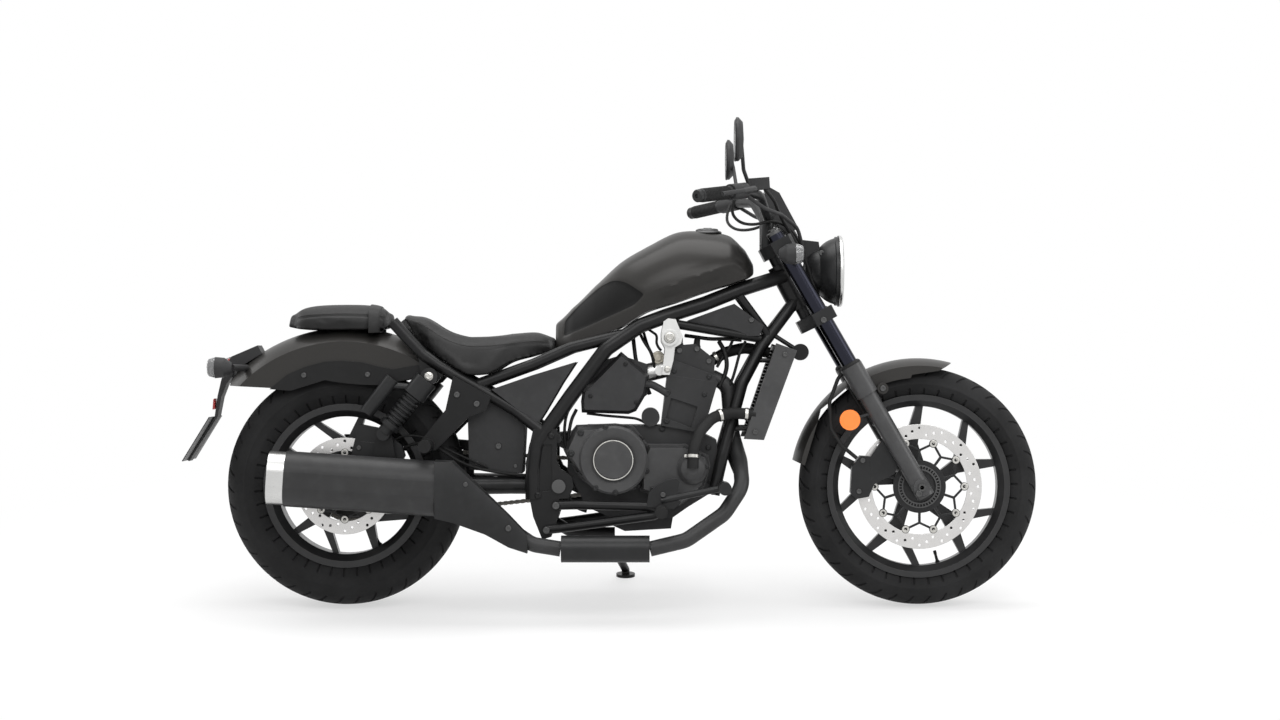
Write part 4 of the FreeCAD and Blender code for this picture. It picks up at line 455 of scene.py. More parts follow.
# The matt pad on each side of the tank, seen from the side: along and height.
kneePad = [(577, 712), (580, 755), (620, 800), (680, 850), (710, 862), (740, 858), (792, 824), (768, 796),
           (650, 740)]
recipes = {
    "tankPaint": (paintFinish, {"colour": (0.025, 0.0238, 0.0224), "flake": (0.09, 0.087, 0.082),
                                "roughness": 0.42, "outline": kneePad}),
    "guardPaint": (paintFinish, {"colour": (0.028, 0.0266, 0.025), "flake": (0.1, 0.097, 0.092),
                                 "roughness": 0.44}),
    "satinBlack": (castFinish, {"colour": (0.010, 0.0102, 0.0106), "roughness": 0.38, "grain": 1500,
                                "depth": 0.00008}),
    "silencerBlack": (castFinish, {"colour": (0.023, 0.023, 0.0234), "roughness": 0.44, "grain": 1300,
                                   "depth": 0.0001, "rub": 0.25}),
    "frameBlack": (castFinish, {"colour": (0.005, 0.005, 0.0052), "roughness": 0.36, "grain": 1100,
                                "depth": 0.0001, "coat": 0.06, "shine": 0.2}),
    "engineBlack": (castFinish, {"colour": (0.018, 0.018, 0.0186), "roughness": 0.5, "grain": 700,
                                 "depth": 0.0003, "edge": 0.0016}),
    "coverBlack": (castFinish, {"colour": (0.042, 0.042, 0.0426), "roughness": 0.42, "depth": 0.0002,
                                "edge": 0.0016}),
    "sliderBlack": (castFinish, {"colour": (0.038, 0.038, 0.0388), "roughness": 0.36, "grain": 1300,
                                 "depth": 0.0001, "coat": 0.2}),
    "plasticBlack": (castFinish, {"colour": (0.022, 0.022, 0.0227), "roughness": 0.54, "grain": 520,
                                  "depth": 0.0004, "rub": 0.12}),
    # the wheels' strong edge rub is partly their machined edges, partly a painted highlight along rims and
    # spokes
    "wheelBlack": (castFinish, {"colour": (0.017, 0.017, 0.0175), "roughness": 0.36, "grain": 1300,
                                "depth": 0.0001, "coat": 0.15, "rub": 0.9, "edge": 0.002}),
    "seatVinyl": (vinylFinish, {"colour": (0.006, 0.0059, 0.0059), "roughness": 0.52}),
    "seamThread": (rubberFinish, {"colour": (0.035, 0.034, 0.033), "roughness": 0.7, "grain": 1600}),
    "tyreRubber": (rubberFinish, {"colour": (0.010, 0.010, 0.0103), "roughness": 0.78, "grain": 500}),
    "softRubber": (rubberFinish, {"colour": (0.009, 0.009, 0.009), "roughness": 0.62, "grain": 900}),
    "wireRubber": (rubberFinish, {"colour": (0.008, 0.008, 0.008), "roughness": 0.5, "grain": 1200}),
    "stanchionCoat": (metalFinish, {"colour": (0.03, 0.031, 0.042), "roughness": 0.22, "scale": 500,
                                    "stretch": (1, 1, 0.1), "strength": 0.05}),
    "discSteel": (metalFinish, {"colour": (0.70, 0.69, 0.68), "roughness": 0.3, "scale": 420,
                                "strength": 0.1}),
    "alloy": (metalFinish, {"colour": (0.66, 0.66, 0.65), "roughness": 0.4, "scale": 700, "strength": 0.18}),
    "zinc": (metalFinish, {"colour": (0.58, 0.57, 0.54), "roughness": 0.34, "scale": 900, "strength": 0.1}),
    "darkSteel": (metalFinish, {"colour": (0.10, 0.10, 0.10), "roughness": 0.4, "scale": 500,
                                "strength": 0.15}),
    "chainSteel": (metalFinish, {"colour": (0.24, 0.23, 0.21), "roughness": 0.38, "scale": 600,
                                 "strength": 0.15, "stain": 0.6}),
    "brushedCap": (metalFinish, {"colour": (0.66, 0.66, 0.65), "roughness": 0.3, "scale": 800,
                                 "stretch": (0.05, 1, 1), "strength": 0.1}),
    "chromeTrim": (metalFinish, {"colour": (0.82, 0.82, 0.81), "roughness": 0.12, "scale": 240,
                                 "strength": 0.03}),
    "mirrorFace": (metalFinish, {"colour": (0.86, 0.87, 0.88), "roughness": 0.12, "scale": 90,
                                 "strength": 0.0}),
    "radiatorCore": (castFinish, {"colour": (0.012, 0.012, 0.0125), "roughness": 0.5, "grain": 1500,
                                  "depth": 0.0004}),
    "clearLens": (lensFinish, {"colour": (0.96, 0.97, 0.98), "cellScale": 240}),
    # the amber reflectors are no lamps: their glow is painted light
    "amberLens": (lensFinish, {"colour": (0.95, 0.25, 0.03), "cellScale": 500, "clear": 0.25, "paintedGlow": 0.25}),
    "redLens": (lensFinish, {"colour": (0.45, 0.01, 0.008), "cellScale": 400, "clear": 0.25}),
    "dialGlass": (lensFinish, {"colour": (0.02, 0.022, 0.024), "clear": 0.1}),
    "creamPlastic": (castFinish, {"colour": (0.62, 0.58, 0.49), "roughness": 0.5, "grain": 700,
                                  "depth": 0.0001, "rub": 0.05}),
    "blankPlate": (castFinish, {"colour": (0.02, 0.02, 0.02), "roughness": 0.4, "grain": 500,
                                "depth": 0.0001}),
}
finishes = {name: make(name, **values) for name, (make, values) in recipes.items()}

# What each CAD piece wears; the rest are satin black.
wears = {
    "guardPaint": ("rear_fender", "front_fender"),
    "wheelBlack": ("front_wheel", "rear_wheel"),
    "frameBlack": ("frame", "fender_stays", "passenger_pegs", "swing_arm", "footpeg_brackets", "side_stand"),
    "engineBlack": ("crankcase", "cylinder_block", "cylinder_head"),
    "coverBlack": ("right_engine_cover", "left_engine_cover", "radiator_covers"),
    "plasticBlack": ("instrument", "rear_lamps", "air_cleaner_covers", "side_covers", "electrics_box",
                     "plate_bracket", "front_indicators", "mirrors", "hand_controls"),
    "silencerBlack": ("exhaust_pipes", "muffler"), "brushedCap": ("muffler_end",),
    "sliderBlack": ("fork_sliders",), "stanchionCoat": ("fork_tubes",), "radiatorCore": ("radiator",),
    "alloy": ("engine_hangers", "throttle_bodies"),
    "darkSteel": ("front_axle", "fuel_filler_cap", "rear_axle_and_pivot_bolt"),
    "softRubber": ("coolant_hoses", "footpegs", "brake_hose"),
    "clearLens": ("headlight_lens",), "amberLens": ("reflectors",), "blankPlate": ("number_plate",),
}
worn = {node: finish for finish, nodes in wears.items() for node in nodes}
for name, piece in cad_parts.items():
    piece.data.materials.clear()
    piece.data.materials.append(finishes[worn.get(name, "satinBlack")])
print("finishes given to", len(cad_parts), "pieces")


def placeCamera():
    view = {"away": 7.6, "along": 0.78, "high": 0.651, "lens": 80.0}
    camera = bpy.data.objects.new("camera", bpy.data.cameras.new("camera"))
    bpy.context.scene.collection.objects.link(camera)
    camera.data.lens = view["lens"]
    camera.data.clip_end = 60
    spot = Matrix.Translation((view["along"], -view["away"], view["high"]))
    camera.matrix_world = upright @ spot @ Matrix.Rotation(math.radians(90), 4, "X")
    bpy.context.scene.camera = camera


placeCamera()

# Tyres: each profile has its radius and side from the crown to the bead, and the reach between which the
# tread blocks are cut into the crown, in beats round the tyre.
tyres = {
    "frontTyre": {"node": "front_tyre", "body": "front_wheel", "axle": (1520, 316), "repeats": 21,
                  "sweep": 0.16, "reach": (14, 58), "depth": 3.6,
                  "profile": [(316, 0), (315.7, 11), (314.2, 22), (311, 33), (306, 43), (299.5, 51),
                              (292, 57.5), (283, 61.5), (276, 62.8), (274, 63.8), (271, 63.8), (269, 62.6),
                              (261, 59.5), (254, 54.5), (249, 49.5), (245.5, 45), (243.4, 41.4),
                              (234, 40.8)]},
    "rearTyre": {"node": "rear_tyre", "body": "rear_wheel", "axle": (0, 318), "repeats": 21,
                 "sweep": 0.2, "reach": (18, 82), "depth": 3.8,
                 "profile": [(318, 0), (317.8, 15), (316.6, 30), (313.8, 45), (309, 58), (302, 70),
                             (293.5, 79), (283, 85.5), (270, 89), (268, 90), (265, 90), (263, 88.6),
                             (250, 86), (240, 81), (231, 74.5), (224, 68.5), (219, 63.5), (207, 61.8)]},
}
tread = {"beats": 12, "crownRadius": 280, "wall": 0.0014, "sweepReach": 1.1, "sweepPower": 0.8,
         "innerDivisor": 2.4}


def makeTyre(name, facts):
    profile, sweep = facts["profile"], facts["sweep"]
    section = [(radius, -side) for radius, side in reversed(profile)] + profile[1:]
    widest = max(side for radius, side in profile)
    ahead = []
    for radius, side in section:
        share = min(1.0, abs(side) / widest * tread["sweepReach"]) ** tread["sweepPower"]
        ahead.append(sweep * share if radius > tread["crownRadius"] else sweep)
    beats = tread["beats"]
    tyre = hoop(section, facts["repeats"] * beats, ahead)
    low, high = facts["reach"]

    def cut(face):
        turn, place = divmod(face.index, len(section))
        if place >= len(section) - 1:
            return False
        side = (section[place][1] + section[place + 1][1]) / 2
        beat = (turn + (0 if side < 0 else beats // 2)) % beats
        reach = abs(side)
        outer = beat == beats // 2 and reach > (low + high) / 2
        inner = beat == beats // 4 and reach < (low + high) / tread["innerDivisor"]
        return low < reach < high and (beat == 0 or outer or inner)

    shape(tyre, cut)
    bpy.ops.mesh.inset(thickness=tread["wall"], depth=-facts["depth"] / 1000)
    bpy.ops.object.mode_set(mode="OBJECT")
    tyre.data.transform(about(*facts["axle"]))
    settle(tyre, name, facts["body"], "tyreRubber", "tyre", facts["node"], smooth=28)


for name, facts in tyres.items():
    makeTyre(name, facts)
print("tyres are on")


def bar(start, end, width, low, high, soften=0.6):
    # a flat strut between two points of the side view
    (x1, z1), (x2, z2) = start, end
    run = math.hypot(x2 - x1, z2 - z1)
    piece = block((run, high - low, width), (run / 2, (low + high) / 2, 0), soften)
    piece.data.transform(about(x1, z1, 0, math.degrees(math.atan2(z2 - z1, x2 - x1))))
    return piece


def polar(radius, degrees):
    return radius * math.cos(math.radians(degrees)), radius * math.sin(math.radians(degrees))


def band(outer, inner, half):
    return [(outer, -half), (outer, half), (inner, half), (inner, -half)]


# Discs: radii from the axle. The arms of the carrier fork at the knee and end at the floating buttons.
discs = {
    "frontDisc": {"node": "front_brake_disc", "body": "front_wheel", "axle": (1520, 316), "side": -66,
                  "ring": (165, 126), "holes": 48, "rows": (155, 147, 138), "hub": (70, 56), "knee": 96,
                  "float": 119, "arms": 10, "sensorSide": -70},
    "rearDisc": {"node": "rear_brake_disc", "body": "rear_wheel", "axle": (0, 318), "side": -82,
                 "ring": (128, 93), "holes": 36, "rows": (119, 111, 102), "hub": (62, 50), "knee": 74,
                 "float": 88, "arms": 8, "sensorSide": -78},
}
discParts = {
    "ringHalf": 2.4, "hole": 3.6, "drillHalf": 8, "chamfer": 0.0005,
    "hubHalf": 3, "hubOverlap": 4, "armHalf": 2.6, "stem": 7, "fork": 6,
    "eye": (11, 7, 2.8), "button": [(-4.6, 9), (-3.4, 10), (3.4, 10), (4.6, 9), (4.6, 4.5), (1, 4)],
    "sensorTeeth": 40, "sensorTooth": (47, 54), "sensorWidth": 3.2, "sensorHalf": 1,
    "sensorBands": ((47, 43), (57, 53.5)),
}


def makeDisc(name, facts):
    parts, arms, body = discParts, facts["arms"], facts["body"]
    there = about(*facts["axle"], facts["side"])
    ring = hoop(band(*facts["ring"], parts["ringHalf"]), 144)
    drill = turned([(-parts["drillHalf"], parts["hole"]), (parts["drillHalf"], parts["hole"])], 12)
    drill.data.transform(ontoSide)
    step = 360 / facts["holes"]
    spots = [about(*polar(facts["rows"][count % 3], count * step)) for count in range(facts["holes"])]
    drills = spread(drill, spots)
    modify(ring, "BOOLEAN", operation="DIFFERENCE", solver="EXACT", object=drills)
    bpy.data.objects.remove(drills)
    modify(ring, "BEVEL", width=parts["chamfer"], segments=1, limit_method="ANGLE")
    ring.data.transform(there)
    settle(ring, name + "Ring", body, "discSteel", "steel", smooth=25)
    # the dark carrier
    wide, half = facts["hub"][0], parts["armHalf"]
    web = [hoop(band(*facts["hub"], parts["hubHalf"]), 72)]
    for count in range(arms):
        here, turn = count * 360 / arms, 180 / arms
        knee = polar(facts["knee"], here + turn)
        web.append(bar(polar(wide - parts["hubOverlap"], here + turn), knee, parts["stem"], -half, half))
        web.append(bar(knee, polar(facts["float"], here), parts["fork"], -half, half))
        web.append(bar(knee, polar(facts["float"], here + 2 * turn), parts["fork"], -half, half))
    floats = [about(*polar(facts["float"], count * 360 / arms)) for count in range(arms)]
    web.append(spread(hoop(band(*parts["eye"]), 24), floats))
    carrier = joined(web)
    carrier.data.transform(there)
    settle(carrier, name + "Carrier", body, "satinBlack", "satin_black", facts["node"])
    button = turned(parts["button"], 20)
    button.data.transform(ontoSide)
    buttons = spread(button, floats)
    buttons.data.transform(there)
    settle(buttons, name + "Buttons", body, "zinc", "steel")
    # the slotted ring that the wheel speed sensor reads
    root, tip = parts["sensorTooth"]
    thin = parts["sensorHalf"]
    turns = [count * 360 / parts["sensorTeeth"] for count in range(parts["sensorTeeth"])]
    teeth = [bar(polar(root, turn), polar(tip, turn), parts["sensorWidth"], -thin, thin, soften=0.3)
             for turn in turns]
    teeth += [hoop(band(*radii, thin), 80) for radii in parts["sensorBands"]]
    sensor = joined(teeth)
    sensor.data.transform(about(*facts["axle"], facts["sensorSide"]))
    settle(sensor, name + "SensorRing", body, "darkSteel", "steel")


for name, facts in discs.items():
    makeDisc(name, facts)
print("brake discs are drilled")

# Chain: each sprocket has its middle and its pitch radius.
chain = {"rear": (0, 318, 100.8), "front": (650, 336, 45.8), "side": 104, "pitch": 15.875,
         "plateRadius": 6.4, "plateArc": 124, "waist": 4.3, "thick": 2.0, "innerGap": 4.4, "outerGap": 6.7,
         "roller": 5, "rollerShort": 0.4, "pin": 2.6, "pinProud": 1.6}
sprocket = {"teeth": 40, "toothRadii": (107, 105.5, 95, 105.5), "firstTooth": 1.1, "half": 2.6, "holes": 10,
            "hole": 9, "holesAt": 76, "drillHalf": 20}


def chainPath():
    # the pins' centres, round each sprocket and along the straight run after it
    (x1, z1, wide), (x2, z2, narrow) = chain["rear"], chain["front"]
    run = math.hypot(x2 - x1, z2 - z1)
    slope = math.atan2(z2 - z1, x2 - x1)
    wrap = math.acos((wide - narrow) / run)
    straight = math.sqrt(run * run - (wide - narrow) ** 2)
    rounds = ((x1, z1, wide, wide * 2 * (math.pi - wrap), slope + wrap, slope - wrap),
              (x2, z2, narrow, narrow * 2 * wrap, slope - wrap, slope + wrap))
    total = 2 * straight + rounds[0][3] + rounds[1][3]
    links = 2 * round(total / chain["pitch"] / 2)
    pins = []
    for count in range(links):
        gone = total * count / links
        for x, z, radius, arc, first, last in rounds:
            onArc = gone < arc
            angle = first + gone / radius if onArc else last
            past = 0 if onArc else gone - arc
            if past < straight:
                pins.append((x + radius * math.cos(angle) - past * math.sin(angle),
                             z + radius * math.sin(angle) + past * math.cos(angle)))
                break
            gone -= arc + straight
    return pins


def linkPlate(low, high):
    radius, waist, pitch, arc = chain["plateRadius"], chain["waist"], chain["pitch"], chain["plateArc"]
    outline = []
    for start, along, side in ((-arc / 2, pitch, waist), (180 - arc / 2, 0, -waist)):
        for count in range(9):
            x, z = polar(radius, start + count * arc / 8)
            outline.append((along + x, z))
        outline.append((pitch / 2, side))
    return plate(outline, low, high)


def makeLink(gap, width, radius):
    pin = turned([(-width, radius), (width, radius)], 10)
    pin.data.transform(ontoSide)
    pins = spread(pin, [Matrix.Identity(4), about(chain["pitch"], 0)])
    half = chain["thick"] / 2
    return joined([linkPlate(gap - half, gap + half), linkPlate(-gap - half, -gap + half), pins])


def makeChain():
    inner, outer = chain["innerGap"], chain["outerGap"]
    links = [makeLink(inner, inner - chain["rollerShort"], chain["roller"]),
             makeLink(outer, outer + chain["pinProud"], chain["pin"])]
    pins = chainPath()
    spots = ([], [])
    for count, (x, z) in enumerate(pins):
        ahead = pins[(count + 1) % len(pins)]
        turn = math.degrees(math.atan2(ahead[1] - z, ahead[0] - x))
        spots[count % 2].append(about(x, z, chain["side"], turn))
    whole = joined([spread(piece, places) for piece, places in zip(links, spots)])
    settle(whole, "rollerChain", "chassis", "chainSteel", "steel", "drive_chain")
    radii = sprocket["toothRadii"] * sprocket["teeth"]
    outline = [polar(radius, count * 360 / len(radii) + sprocket["firstTooth"])
               for count, radius in enumerate(radii)]
    teeth = plate(outline, -sprocket["half"], sprocket["half"])
    half = sprocket["drillHalf"]
    lighten = turned([(-half, sprocket["hole"]), (half, sprocket["hole"])], 20)
    lighten.data.transform(ontoSide)
    bites = spread(lighten, [about(*polar(sprocket["holesAt"], count * 360 / sprocket["holes"]))
                             for count in range(sprocket["holes"])])
    modify(teeth, "BOOLEAN", operation="DIFFERENCE", solver="EXACT", object=bites)
    bpy.data.objects.remove(bites)
    teeth.data.transform(about(*chain["rear"][:2], chain["side"]))
    settle(teeth, "sprocketTeeth", "rear_wheel", "darkSteel", "steel")


makeChain()
print("chain runs over", len(chainPath()), "links")


def rowAt(rows, x):
    # smooth values between the rows of a body, by their first number
    last = len(rows) - 2
    place = max(0, min(last, sum(row[0] <= x for row in rows) - 1))
    before, here = rows[max(0, place - 1)], rows[place]
    after, further = rows[place + 1], rows[min(last + 1, place + 2)]
    share = (x - here[0]) / (after[0] - here[0])
    values = []
    for p, q, r, s in zip(before, here, after, further):
        values.append(0.5 * (2 * q + (r - p) * share + (2 * p - 5 * q + 4 * r - s) * share ** 2
                             + (3 * q - p - 3 * r + s) * share ** 3))
    return values[1:]


def smooth(low, high, value):
    share = max(0.0, min(1.0, (value - low) / (high - low)))
    return share * share * (3 - 2 * share)


def halfSection(foot, footZ, top, topZ, bulge, crown, ease=12, sides=24, crowns=16):
    # from the foot of the side, over the shoulder, to the middle of the top
    line = []
    for step in range(sides + 1):
        share = step / sides
        line.append((foot + (top - foot) * share + 4 * bulge * share * (1 - share),
                     footZ + (topZ - footZ) * share))
    for step in range(1, crowns + 1):
        share = step / crowns
        line.append((top * (1 - share), topZ + crown * (1 - (1 - share) ** 2)))
    for turn in range(ease):
        around = line[:1] + line + [(-line[-2][0], line[-2][1])]
        eased = [tuple(before * 0.25 + here * 0.5 + after * 0.25 for before, here, after
                       in zip(*around[count:count + 3])) for count in range(1, len(line))]
        line = [line[0]] + eased
    return line


def wholeLoop(x, line, floor=2):
    # the half section and its mirror image, closed along the foot
    points = [at(x, -y, z) for y, z in line] + [at(x, y, z) for y, z in reversed(line[:-1])]
    width, height = line[0]
    points += [at(x, width * (1 - 2 * step / 8), height - floor) for step in range(1, 8)]
    return points


def roundedEnds(loopAt, start, end, radius, count, steps=5):
    # loops along a body whose two end faces have rounded edges
    loops = []
    places = []
    for step in range(steps):
        turn = math.radians(90 * step / steps)
        places.append((start + radius * (1 - math.cos(turn)), radius * (1 - math.sin(turn))))
    inner = [(start + radius + (end - start - 2 * radius) * step / count, 0.0) for step in range(count + 1)]
    tail = [(end - (x - start), inset) for x, inset in reversed(places)]
    for x, inset in places + inner + tail:
        loop = loopAt(x)
        if inset:
            middle = sum(loop, Vector()) / len(loop)
            reach = min(max(abs(p.y - middle.y) for p in loop), max(abs(p.z - middle.z) for p in loop))
            share = 1 - inset / 1000 / reach
            loop = [Vector((p.x, middle.y + (p.y - middle.y) * share, middle.z + (p.z - middle.z) * share))
                    for p in loop]
        loops.append(loop)
    return loops


tank = {
    # along, half width and height of the foot, half width and height of the shoulder, bulge, crown
    "rows": [(556, 50, 678, 30, 742, 4, 8), (600, 84, 692, 46, 778, 8, 12),
             (660, 108, 710, 66, 832, 12, 16), (730, 118, 738, 84, 890, 20, 22),
             (800, 122, 780, 92, 928, 24, 26), (880, 126, 806, 92, 960, 26, 32),
             (960, 122, 834, 86, 962, 24, 32), (1020, 108, 852, 74, 954, 20, 28),
             (1060, 92, 866, 56, 930, 14, 15), (1082, 70, 876, 40, 902, 6, 8)],
    "ends": (556, 1082), "edge": 10, "slices": 96,
    "crease": ((800, 822), (990, 892)), "creaseRise": (770, 850), "creaseFall": (975, 1060),
    "creaseLip": 2.2, "creaseReach": 10, "tuck": 0.5, "deepestTuck": 16, "roundTop": 30, "padDepth": 4.0,
}
tankCap = {
    "rings": [(0, 44), (3, 44), (6, 42), (8, 36), (8, 34), (12, 33), (14, 31), (15, 26), (15, 1)],
    "flap": (26, 12, 3), "flapHeight": 16, "hinge": (-34, 0, 9), "hingeHalf": 12, "pin": 3,
    "sunk": 14, "scale": 0.86,
}


def insidePad(x, z):
    inside = 1000.0
    for (x1, z1), (x2, z2) in zip([kneePad[-1]] + kneePad, kneePad):
        run = math.hypot(x2 - x1, z2 - z1)
        inside = min(inside, ((x - x1) * (z2 - z1) - (z - z1) * (x2 - x1)) / run)
    return inside


def tankLoop(x):
    line = halfSection(*rowAt(tank["rows"], x))
    (x1, z1), (x2, z2) = tank["crease"]
    height = z1 + (x - x1) * (z2 - z1) / (x2 - x1)
    share = smooth(*tank["creaseRise"], x) * (1 - smooth(*tank["creaseFall"], x))
    shaped = []
    for y, z in line:
        if y > tank["roundTop"] and z < height:
            y -= share * min(tank["deepestTuck"], tank["tuck"] * (height - z))
        if y > tank["roundTop"]:
            y += share * tank["creaseLip"] * math.exp(-abs(z - height) / tank["creaseReach"])
            y -= tank["padDepth"] * smooth(-1, 6, insidePad(x, z))
        shaped.append((y, z))
    return wholeLoop(x, shaped)


def makeTank():
    loops = roundedEnds(tankLoop, *tank["ends"], tank["edge"], tank["slices"])
    settle(skin(loops), "tankShell", "chassis", "tankPaint", "body_paint", "fuel_tank", smooth=40)
    cap = turned(tankCap["rings"], 48)
    flap = block(tankCap["flap"], (0, 0, tankCap["flapHeight"]), 1.2)
    hinge = turned([(-tankCap["hingeHalf"], tankCap["pin"]), (tankCap["hingeHalf"], tankCap["pin"])], 12)
    hinge.data.transform(Matrix.Translation(at(*tankCap["hinge"])) @ ontoSide)
    whole = joined([cap, flap, hinge])
    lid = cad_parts["fuel_filler_cap"]
    corners = [upright.inverted() @ corner.co for corner in lid.data.vertices]
    middle = [(min(c[k] for c in corners) + max(c[k] for c in corners)) / 2 * 1000 for k in (0, 1)]
    top = max(c.z for c in corners) * 1000 - tankCap["sunk"]
    whole.data.transform(Matrix.Translation(at(*middle, top)) @ Matrix.Scale(tankCap["scale"], 4))
    settle(whole, "fillerCap", "chassis", "darkSteel", "steel", "fuel_filler_cap")


makeTank()
print("tank is shaped")

riderSeat = {
    # foot and shoulder of each section: along, half width, height; then the bulge and the crown
    "rows": [(200, 90, 702, 168, 82, 768, 4, 8), (238, 122, 668, 214, 104, 750, 6, 9),
             (282, 140, 638, 266, 118, 719, 8, 8), (330, 147, 612, 322, 124, 703, 8, 8),
             (385, 148, 616, 385, 124, 702, 8, 9), (440, 128, 646, 446, 110, 705, 7, 11),
             (498, 102, 662, 502, 88, 708, 6, 12), (545, 74, 677, 541, 60, 703, 4, 9)],
    "node": "rider_seat", "swell": 0.006, "voxel": 0.005, "seam": 0.74, "seamDepth": 2.2, "fill": 0.75,
    "stitches": 92, "stitched": (0.06, 0.97), "stitchLift": 0.1,
}
passengerSeat = {
    "rows": [(-146, 54, 737, -140, 42, 758, 5, 7), (-116, 84, 733, -114, 66, 770, 8, 12),
             (-70, 95, 731, -70, 78, 775, 8, 15), (-10, 98, 731, -10, 82, 777, 8, 16),
             (50, 97, 731, 50, 82, 776, 8, 16), (92, 88, 733, 91, 72, 772, 7, 13),
             (114, 66, 737, 110, 52, 760, 5, 8)],
    "node": "passenger_seat", "swell": 0.007, "voxel": 0.005, "seam": 0.8, "seamDepth": 2.2, "fill": 0.85,
    "stitches": 62, "stitched": (0.1, 0.9), "stitchLift": 0.12, "strap": (0.715, 0.845), "strapLift": 9.5,
}
coverCloth = {"quality": 6, "mass": 0.3, "tension_stiffness": 25, "compression_stiffness": 25,
              "bending_stiffness": 2, "use_pressure": True, "uniform_pressure_force": 4}
sewing = {"frames": 20, "balloon": 0.02, "restFacing": -0.6, "restShare": 0.15, "channelSteps": 80,
          "channel": 0.012, "channelReach": 0.0035, "endPush": 0.014, "endDraw": 0.36, "rayFrom": 260,
          "threadRise": 0.0003, "threadAhead": 0.01,
          "thread": [(-2.1, 0.3), (-1.6, 0.75), (1.6, 0.75), (2.1, 0.3)]}


def padRow(facts, share):
    numbered = [(count, *row) for count, row in enumerate(facts["rows"])]
    return rowAt(numbered, share * (len(numbered) - 1))


def padPoint(facts, share, height):
    # a point of the pad's side: its share of the length and of the side's height
    footX, foot, footZ, topX, top, topZ, bulge = padRow(facts, share)[:7]
    return (footX + (topX - footX) * height,
            foot + (top - foot) * height + 4 * bulge * height * (1 - height),
            footZ + (topZ - footZ) * height)


def padShell(facts, grow=0.0, first=0.0, last=1.0, count=44):
    loops = []
    for step in range(count + 1):
        share = first + (last - first) * step / count
        footX, foot, footZ, topX, top, topZ, bulge, crown = padRow(facts, share)
        line = halfSection(foot + grow, footZ - grow, top + grow, topZ + grow, bulge, crown,
                           ease=10, sides=14, crowns=14)
        tall = topZ + crown - footZ
        loop = wholeLoop(0, line, 0)
        for point in loop:
            point.x = (footX + (topX - footX) * max(0.0, (point.z * 1000 - footZ) / tall)) / 1000
        loops.append(loop)
    return loops


def roundedPad(facts):
    # the shell with its two ends drawn in
    loops = padShell(facts)
    ends = []
    for loop, side in ((loops[0], -1), (loops[-1], 1)):
        middle = sum(loop, Vector()) / len(loop)
        drawn = []
        for turn in (30, 60, 80):
            share = 1 - sewing["endDraw"] * (1 - math.cos(math.radians(turn)))
            push = side * sewing["endPush"] * math.sin(math.radians(turn))
            drawn.append([Vector((p.x + push, middle.y + (p.y - middle.y) * share,
                                  middle.z + (p.z - middle.z) * share)) for p in loop])
        ends.append(drawn)
    return list(reversed(ends[0])) + loops + ends[1]


def simulate(pad, facts):
    # the cover swells over its foam, as far as the swell says
    before = [corner.co.copy() for corner in pad.data.vertices]
    alone(pad)
    cloth = pad.modifiers.new("Cloth", "CLOTH")
    for key, value in coverCloth.items():
        setattr(cloth.settings, key, value)
    cloth.settings.effector_weights.gravity = 0
    cloth.point_cache.frame_start, cloth.point_cache.frame_end = 1, sewing["frames"]
    scene = bpy.context.scene
    for step in range(1, sewing["frames"] + 1):
        scene.frame_set(step)
    swollen = pad.evaluated_get(bpy.context.evaluated_depsgraph_get()).to_mesh()
    moved = [corner.co.copy() for corner in swollen.vertices]
    scene.frame_set(1)
    pad.modifiers.remove(cloth)
    for corner, start, end in zip(pad.data.vertices, before, moved):
        move = end - start
        if move.length > facts["swell"]:
            move *= facts["swell"] / move.length
        if start.z < end.z - sewing["balloon"] or corner.normal.z < sewing["restFacing"]:
            move *= sewing["restShare"]  # the pad stays flat where it rests, and doesn't balloon
        corner.co = start + move


def makePad(name, facts):
    pad = skin(roundedPad(facts))
    modify(pad, "REMESH", mode="VOXEL", voxel_size=facts["voxel"])
    simulate(pad, facts)
    modify(pad, "SMOOTH", factor=0.5, iterations=3)
    modify(pad, "SUBSURF", levels=1, render_levels=1)
    # the sewn channel round the shoulder, pulled in after the remesh
    steps = sewing["channelSteps"]
    seam = [Vector(padPoint(facts, step / steps, facts["seam"])) / 1000 for step in range(steps + 1)]
    seam += [Vector((p.x, -p.y, p.z)) for p in seam]
    tree = kdtree.KDTree(len(seam))
    for count, point in enumerate(seam):
        tree.insert(point, count)
    tree.balance()
    for corner in pad.data.vertices:
        reach = tree.find(corner.co)[2]
        if reach < sewing["channel"]:
            depth = facts["seamDepth"] / 1000 * math.exp(-(reach / sewing["channelReach"]) ** 2)
            corner.co -= corner.normal * depth
    settle(pad, name, "chassis", "seatVinyl", "leather", facts["node"], smooth=70)
    return pad


def stitch(pad, facts):
    # short threads laid on the cover beside its seam, on both sides
    thread = turned(sewing["thread"], 6)
    first, last = facts["stitched"]
    height = facts["seam"] + facts["stitchLift"]
    spots = []
    back = upright.inverted()
    for side in (-1, 1):
        for step in range(facts["stitches"]):
            share = first + (last - first) * step / (facts["stitches"] - 1)
            x, y, z = padPoint(facts, share, height)
            ahead = padPoint(facts, min(1.0, share + sewing["threadAhead"]), height)
            start = upright @ at(x, side * sewing["rayFrom"], z)
            met, spot, normal = pad.ray_cast(start, upright.to_3x3() @ Vector((0, -side, 0)))[:3]
            if not met:
                continue
            spot = back @ (spot + normal * sewing["threadRise"])
            along = Vector((ahead[0] - x, side * (ahead[1] - y), ahead[2] - z))
            spots.append(turnedTo(spot * 1000, along))
    return spread(thread, spots)


for name, facts in (("riderSeat", riderSeat), ("passengerSeat", passengerSeat)):
    seat = makePad(name, facts)
    settle(stitch(seat, facts), name + "Stitches", "chassis", "seamThread", "leather")


